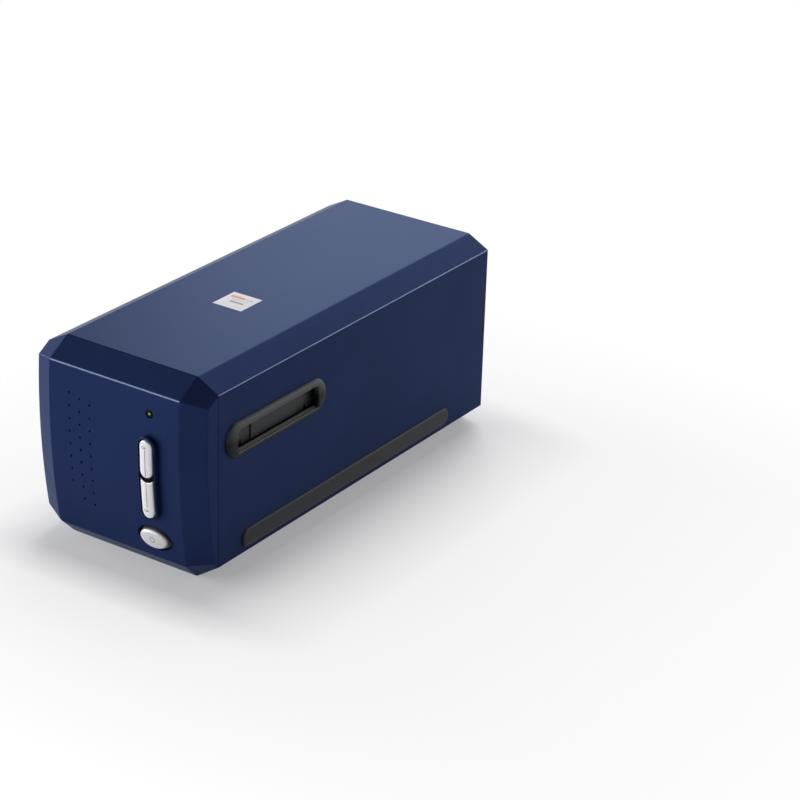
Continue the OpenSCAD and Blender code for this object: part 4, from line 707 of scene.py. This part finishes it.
def keyCap(upper, back):
    # Grid over the button's outline. Its height is the bulge of the face plus a crown across it,
    # less a quarter round at the edge and a narrow groove that fades out at both ends.
    k = keys
    r, ball, grooveX = k["radius"], k["split"] + k["radius"], places["grooveX"]
    across = r * np.sin(np.linspace(-math.pi / 2, math.pi / 2, k["columns"]))
    fine = grooveX + np.linspace(-1.6, 1.6, 13) * k["grooveWidth"]  # closer columns at the groove
    across = np.sort(np.concatenate([across[np.abs(across - grooveX) > 1.75 * k["grooveWidth"]], fine]))
    half = np.sqrt(np.maximum(r * r - across ** 2, 0))
    if upper:
        low, high = ball - half, k["top"] - r + half
    else:
        reach = r + k["step"]
        low, high = k["low"] + r - half, ball - np.sqrt(reach ** 2 - across ** 2)
    share = 0.5 - 0.5 * np.cos(np.linspace(0, math.pi, k["rows"]))
    z = low[:, None] + (high - low)[:, None] * share[None, :]
    x = np.repeat(across[:, None], k["rows"], axis=1)
    onAxis = np.clip(z, ball, k["top"] - r) if upper else np.maximum(z, k["low"] + r)
    inside = r - np.hypot(x, z - onAxis)
    if not upper:
        inside = np.minimum(inside, np.hypot(x, z - ball) - r - k["step"])
    beforeSplit, afterSplit = k["grooveEnds"]
    start, end = ((k["split"] + afterSplit, k["grooveHigh"]) if upper
                  else (k["grooveLow"], k["split"] + beforeSplit))
    fade = np.clip((z - start) / k["fade"], 0, 1) * np.clip((end - z) / k["fade"], 0, 1)
    groove = k["groove"] * np.exp(-((x - grooveX) / (k["grooveWidth"] * 0.6)) ** 2) * fade
    y = (faceY(z) - face["rimHeight"] - face["keyProud"] + k["crown"] - np.sqrt(k["crown"] ** 2 - x ** 2)
         + edgeDrop(np.maximum(inside, 0), k["edge"]) + groove)
    nx, nz = x.shape
    front = np.stack([x + places["column"], y, z], axis=-1).reshape(-1, 3)
    index = np.arange(nx * nz).reshape(nx, nz)
    grid = np.stack([index[:-1, :-1], index[:-1, 1:], index[1:, 1:], index[1:, :-1]], axis=-1).reshape(-1, 4)
    border = np.concatenate([index[:-1, 0], index[-1, :-1], index[:0:-1, -1], index[0, :0:-1]])
    behind = front[border].copy()
    behind[:, 1] = back
    below = nx * nz + np.arange(len(border))
    wall = np.stack([border, np.roll(border, -1), np.roll(below, -1), below], axis=1)
    faces = np.concatenate([grid, wall]).tolist() + [below.tolist()]
    return np.concatenate([front, behind]), faces


for node, upper, back in (("scan_button_upper", True, keys["upperBack"]),
                          ("scan_button_lower", False, keys["lowerBack"])):
    dressed(node + ".cap", node, keyCap(upper, back), ((0, back - 0.01, 0), (0, -1, 0)), within=40)

# Power button and indicator lens
power = {"a": 9.7, "b": 5.7, "proud": 2.6, "fall": 0.9, "edge": 1.9, "back": 1.4, "around": 128, "rings": 40}
lens = {"radius": 2.5, "rise": 0.55, "sunk": 0.42, "back": 1.2, "around": 48, "rings": 16}


def ovalCap():
    # Rings of the oval: a dome about its middle, less a quarter round at the edge, tilted with the face
    p = power
    angle = np.linspace(0, 2 * math.pi, p["around"], endpoint=False)
    dome = (p["a"] ** 2 + p["fall"] ** 2) / (2 * p["fall"])
    share = np.concatenate([np.sin(np.linspace(0, math.pi / 2, p["rings"])), [1.0]])[::-1]
    rings = []
    for k, t in enumerate(share):
        u, v = p["a"] * t * np.cos(angle), p["b"] * t * np.sin(angle)
        drop = dome - np.sqrt(dome ** 2 - u ** 2 - v ** 2)
        inside = (1 - t) * p["a"] * p["b"] / np.hypot(p["b"] * np.cos(angle), p["a"] * np.sin(angle))
        depth = -p["proud"] + drop + edgeDrop(inside, p["edge"])
        rings.append(np.stack([u, np.full_like(u, p["back"]) if k == 0 else depth, v], axis=1))
    points = np.concatenate(rings)
    tilt = math.asin((face["z"] - places["powerZ"]) / face["radius"])
    c, s = math.cos(tilt), math.sin(tilt)
    y, z = points[:, 1] * c - points[:, 2] * s, points[:, 1] * s + points[:, 2] * c
    points = np.stack([points[:, 0] + places["column"], y + faceY(places["powerZ"]), z + places["powerZ"]],
                      axis=1)
    return points, [list(range(p["around"]))] + ringFaces(len(share), p["around"])


def lensCap():
    # Rings of the small dome, its height falling as the square of the radius
    q = lens
    angle = np.linspace(0, 2 * math.pi, q["around"], endpoint=False)
    rings = []
    for k, t in enumerate(np.concatenate([[1.0], np.sin(np.linspace(math.pi / 2, 0, q["rings"]))])):
        depth = q["back"] if k == 0 else q["sunk"] - q["rise"] * (1 - t * t)
        rings.append(np.stack([places["column"] + q["radius"] * t * np.cos(angle),
                               np.full(q["around"], faceY(places["lampZ"]) + depth),
                               places["lampZ"] + q["radius"] * t * np.sin(angle)], axis=1))
    return np.concatenate(rings), [list(range(q["around"]))] + ringFaces(len(rings), q["around"])


dressed("power_button.cap", "power_button", ovalCap(),
        ((0, faceY(places["powerZ"]) + power["back"] - 0.3, 0), (0, -1, 0)), within=40)
dressed("indicator_lens.dome", "indicator_lens", lensCap(),
        ((0, faceY(places["lampZ"]) + lens["back"] - 0.01, 0), (0, -1, 0)))
print("controls made")

strip = {"halfLength": 98.95, "halfHeight": 5.75, "corner": 4.95, "y": 1.4, "z": 18.6, "proud": 1.4,
         "dome": 18.0, "edge": 1.2, "sunk": 0.35, "rings": 26}


def sideStrip(side):
    # Rings of the outline, each a little further in: a dome across the strip less a rounded edge
    q = strip
    inset = q["halfHeight"] * (1 - np.cos(np.linspace(0, math.pi / 2, q["rings"])))
    rings = []
    for k, d in enumerate(np.concatenate([[0.0], inset])):
        outline = roundBox(q["halfLength"] - d, q["halfHeight"] - d, max(q["corner"] - d, 0.0))
        rise = q["proud"] - q["dome"] + np.sqrt(q["dome"] ** 2 - outline[:, 1] ** 2)
        rise = rise - edgeDrop(np.full(len(outline), d), q["edge"])
        rise = np.maximum(rise, -q["sunk"]) if k else np.full(len(outline), -q["sunk"])
        rings.append(np.stack([side * (casing["halfWidth"] + rise), outline[:, 0] + q["y"],
                               outline[:, 1] + q["z"]], axis=1))
    size = len(rings[0])
    return np.concatenate(rings), [list(range(size))] + ringFaces(len(rings), size)


# Slot bezels: the outer edge is edge wide and rise high, the lip rounds the edge of the opening
rim = {"halfLength": 44.0, "radius": 10.2, "rise": 2.5, "edge": 4.2, "sweep": 1.05, "outerRings": 14,
       "openA": 35.5, "openB": 6.45, "openR": 2.5, "lip": 0.9, "innerRings": 10, "z": 80.35, "base": 57.3}


def slotRim(side):
    # Rings from the pill outline in to the opening. The height over the casing is a quarter
    # ellipse by the distance from the outer edge, less a quarter round by that from the opening.
    q = rim
    outer = [q["edge"] * (1 - math.cos(a)) for a in np.linspace(0, q["sweep"], q["outerRings"])]
    rings = [roundBox(q["halfLength"] - d, q["radius"] - d, q["radius"] - d) for d in outer]
    inner = [roundBox(q["openA"] + d, q["openB"] + d, q["openR"] + d)
             for d in q["lip"] * (1 - np.sin(np.linspace(0, math.pi / 2, q["innerRings"])))]
    rings += [rings[-1] * (1 - t) + inner[0] * t for t in (0.25, 0.5, 0.75)] + inner
    points = []
    for ring in rings:
        across = np.clip(-boxDistance(ring, q["halfLength"], q["radius"], q["radius"]), 0, q["edge"])
        height = q["rise"] * np.sqrt(1 - (1 - across / q["edge"]) ** 2)
        fromOpening = boxDistance(ring, q["openA"], q["openB"], q["openR"])
        height = height - edgeDrop(np.maximum(fromOpening, 0), q["lip"])
        points.append(np.stack([casing["halfWidth"] + height, ring[:, 0] + places["slotY"],
                                ring[:, 1] + q["z"]], axis=1))
    for ring in (points[-1], points[0]):
        points.append(np.stack([np.full(len(ring), q["base"]), ring[:, 1], ring[:, 2]], axis=1))
    return np.concatenate(points) * (side, 1, 1), ringFaces(len(points), len(rings[0]), closed=True)


# Doors, feet and rear panel: each edge is a width in mm, and how far it is painted lighter
door = {"edge": 0.18, "rub": 0.3, "angle": 60, "outX": 54.0, "below": 86.0, "panelTop": 83.4, "panelX": 54.5,
        "rise": 0.8}
feet = {"edge": 0.7, "rub": 0.2, "angle": 60}
rear = {"edge": 0.3, "rub": 0.2, "angle": 60, "y": 137.35}


def doorEdge(p, angle):
    return angle > door["angle"] and abs(p.x) > door["outX"] and p.z < door["below"]


def panelTop(p):
    # Upper edge of the panel that stands out from the door
    return abs(p.z - door["panelTop"]) < 0.02 and abs(p.x) > door["panelX"]


def footEdge(p, angle):
    return angle > feet["angle"] and p.z < 0.05


def rearEdge(p, angle):
    return angle > rear["angle"] and p.y > rear["y"]


for hand, side in (("right", 1), ("left", -1)):
    dressed("side_strip_%s.dome" % hand, "side_strip_%s" % hand, sideStrip(side), within=50)
for hand, side in (("right", 1), ("left", -1)):
    dressed("slot_bezel_%s.rim" % hand, "slot_bezel_%s" % hand, slotRim(side),
            ((side * rim["base"], 0, 0), (side, 0, 0)), within=40)
for hand in ("right", "left"):
    softCopy("dust_door_%s" % hand, [(door["edge"], 2, door["rub"], doorEdge)],
             lift=(panelTop, door["rise"]))
softCopy("rubber_feet", [(feet["edge"], 4, feet["rub"], footEdge)])
softCopy("rear_panel", [(rear["edge"], 2, rear["rub"], rearEdge)])
print("trim made")

# Camera in degrees and millimetres, floor and sky
camera = {"az": 33.686, "el": 25.15, "roll": 1.844, "dist": 1454.5, "target": (89.54, 2.0, 73.82),
          "lens": 119.6, "sensor": 36, "nearest": 0.05}
floor = {"half": 4000, "colour": (0.86, 0.86, 0.87), "roughness": 0.6, "grain": 40.0,
         "dull": (0.855, 0.855, 0.875), "pale": (0.865, 0.865, 0.88), "left": 57.5, "right": 57.62,
         "rightSlope": 0.42, "end": 136.0, "near": (3.0, 34.0), "far": (34.0, 160.0), "nearWhite": 0.48,
         "farWhite": 0.22, "leastWhite": 0.3}
sky = {"level": 0.12, "seen": 1.0, "overhead": 0.85, "ceiling": (0.45, 0.85)}
lamps = {"keyBack": dict(place=(-0.45, 1.35, 0.78), size=1.3, sizeY=0.8, power=8),
         "highBack": dict(place=(-0.2, 0.75, 1.5), size=0.7, sizeY=0.7, power=9),
         "leftLow": dict(place=(-1.5, -0.5, 0.3), size=1.2, sizeY=0.55, power=21),
         "frontLeft": dict(place=(-0.9, -1.5, 0.7), size=1.2, sizeY=0.8, power=9),
         "rightRear": dict(place=(1.0, 1.6, 0.6), size=1.0, sizeY=0.6, power=7)}
lampAim = (0, 0, 0.06)


def addCamera(c):
    az, el, roll = (math.radians(c[k]) for k in ("az", "el", "roll"))
    back = Vector((math.sin(az) * math.cos(el), -math.cos(az) * math.cos(el), math.sin(el)))
    right = (-back).cross(Vector((0, 0, 1))).normalized()
    up = right.cross(-back)
    sideways = right * math.cos(roll) + up * math.sin(roll)
    upwards = up * math.cos(roll) - right * math.sin(roll)
    place = (Vector(c["target"]) + back * c["dist"]) * mm
    data = bpy.data.cameras.new("photoCamera")
    data.lens = c["lens"]
    data.sensor_width = c["sensor"]
    data.clip_start = c["nearest"]
    obj = bpy.data.objects.new("photoCamera", data)
    obj.matrix_world = Matrix.Translation(place) @ Matrix((sideways, upwards, back)).transposed().to_4x4()
    bpy.context.scene.collection.objects.link(obj)
    bpy.context.scene.camera = obj


def addFloor(q):
    half = q["half"] * mm
    corners = [(-half, -half, 0), (half, -half, 0), (half, half, 0), (-half, half, 0)]
    mesh = bpy.data.meshes.new("floor")
    mesh.from_pydata(corners, [], [(0, 1, 2, 3)])
    obj = bpy.data.objects.new("floor", mesh)
    bpy.context.scene.collection.objects.link(obj)
    paper = Finish("floorPaper", q["colour"], q["roughness"])
    paper.link("Base Color", paper.mix(paper.noise(q["grain"], 3.0), q["dull"], q["pale"]))
    # Whiter away from the object's footprint, and more slowly on its right, so that its shadow stays
    rightward = (paper.x - q["right"] * mm) * q["rightSlope"]
    sideways = rightward.most(paper.x * -1.0 - q["left"] * mm).most(0.0)
    away = sideways.reach((paper.y.abs() - q["end"] * mm).most(0.0))
    near, far = ([edge * mm for edge in q[k]] for k in ("near", "far"))
    white = away.ramp(*near) * q["nearWhite"] + away.ramp(*far) * q["farWhite"] + q["leastWhite"]
    seen = paper.ray("Is Camera Ray").most(paper.ray("Is Glossy Ray")).most(paper.ray("Is Transmission Ray"))
    paper.glow(seen * white, (1.0, 1.0, 1.0))
    mesh.materials.append(paper.material)


def addArea(name, aim, place, size, sizeY, power):
    # Rectangular lamp: places and sizes in metres, power in watts
    data = bpy.data.lights.new(name, "AREA")
    data.energy = power
    data.shape = "RECTANGLE"
    data.size = size
    data.size_y = sizeY
    obj = bpy.data.objects.new(name, data)
    turn = (Vector(aim) - Vector(place)).to_track_quat("-Z", "Y").to_matrix().to_4x4()
    obj.matrix_world = Matrix.Translation(Vector(place)) @ turn
    bpy.context.scene.collection.objects.link(obj)


def addWorld(s):
    # White round the horizon for the camera and for reflections, and a dim ceiling overhead
    world = bpy.data.worlds.new("studio")
    bpy.context.scene.world = world
    world.use_nodes = True
    tree = world.node_tree
    tree.nodes.clear()
    seen, glossy, through = (makeNode(tree, "ShaderNodeLightPath", out=k)
                             for k in ("Is Camera Ray", "Is Glossy Ray", "Is Transmission Ray"))
    direction = makeNode(tree, "ShaderNodeTexCoord", out="Generated")
    height = makeNode(tree, "ShaderNodeSeparateXYZ", {}, [direction], out=2)
    ceiling = height.ramp(*s["ceiling"]) * s["overhead"] * (1.0 - seen)
    level = (glossy.most(through) * (s["seen"] - s["level"]) + s["level"]) * (1.0 - ceiling)
    level = level * (1.0 - seen) + seen
    background = makeNode(tree, "ShaderNodeBackground", {}, {"Color": (1, 1, 1, 1), "Strength": level})
    output = tree.nodes.new("ShaderNodeOutputWorld")
    tree.links.new(background.socket, output.inputs["Surface"])


addCamera(camera)
addFloor(floor)
addWorld(sky)
for name, settings in lamps.items():
    addArea(name, lampAim, **settings)
bpy.context.scene.view_settings.view_transform = "Standard"
print("stage set")
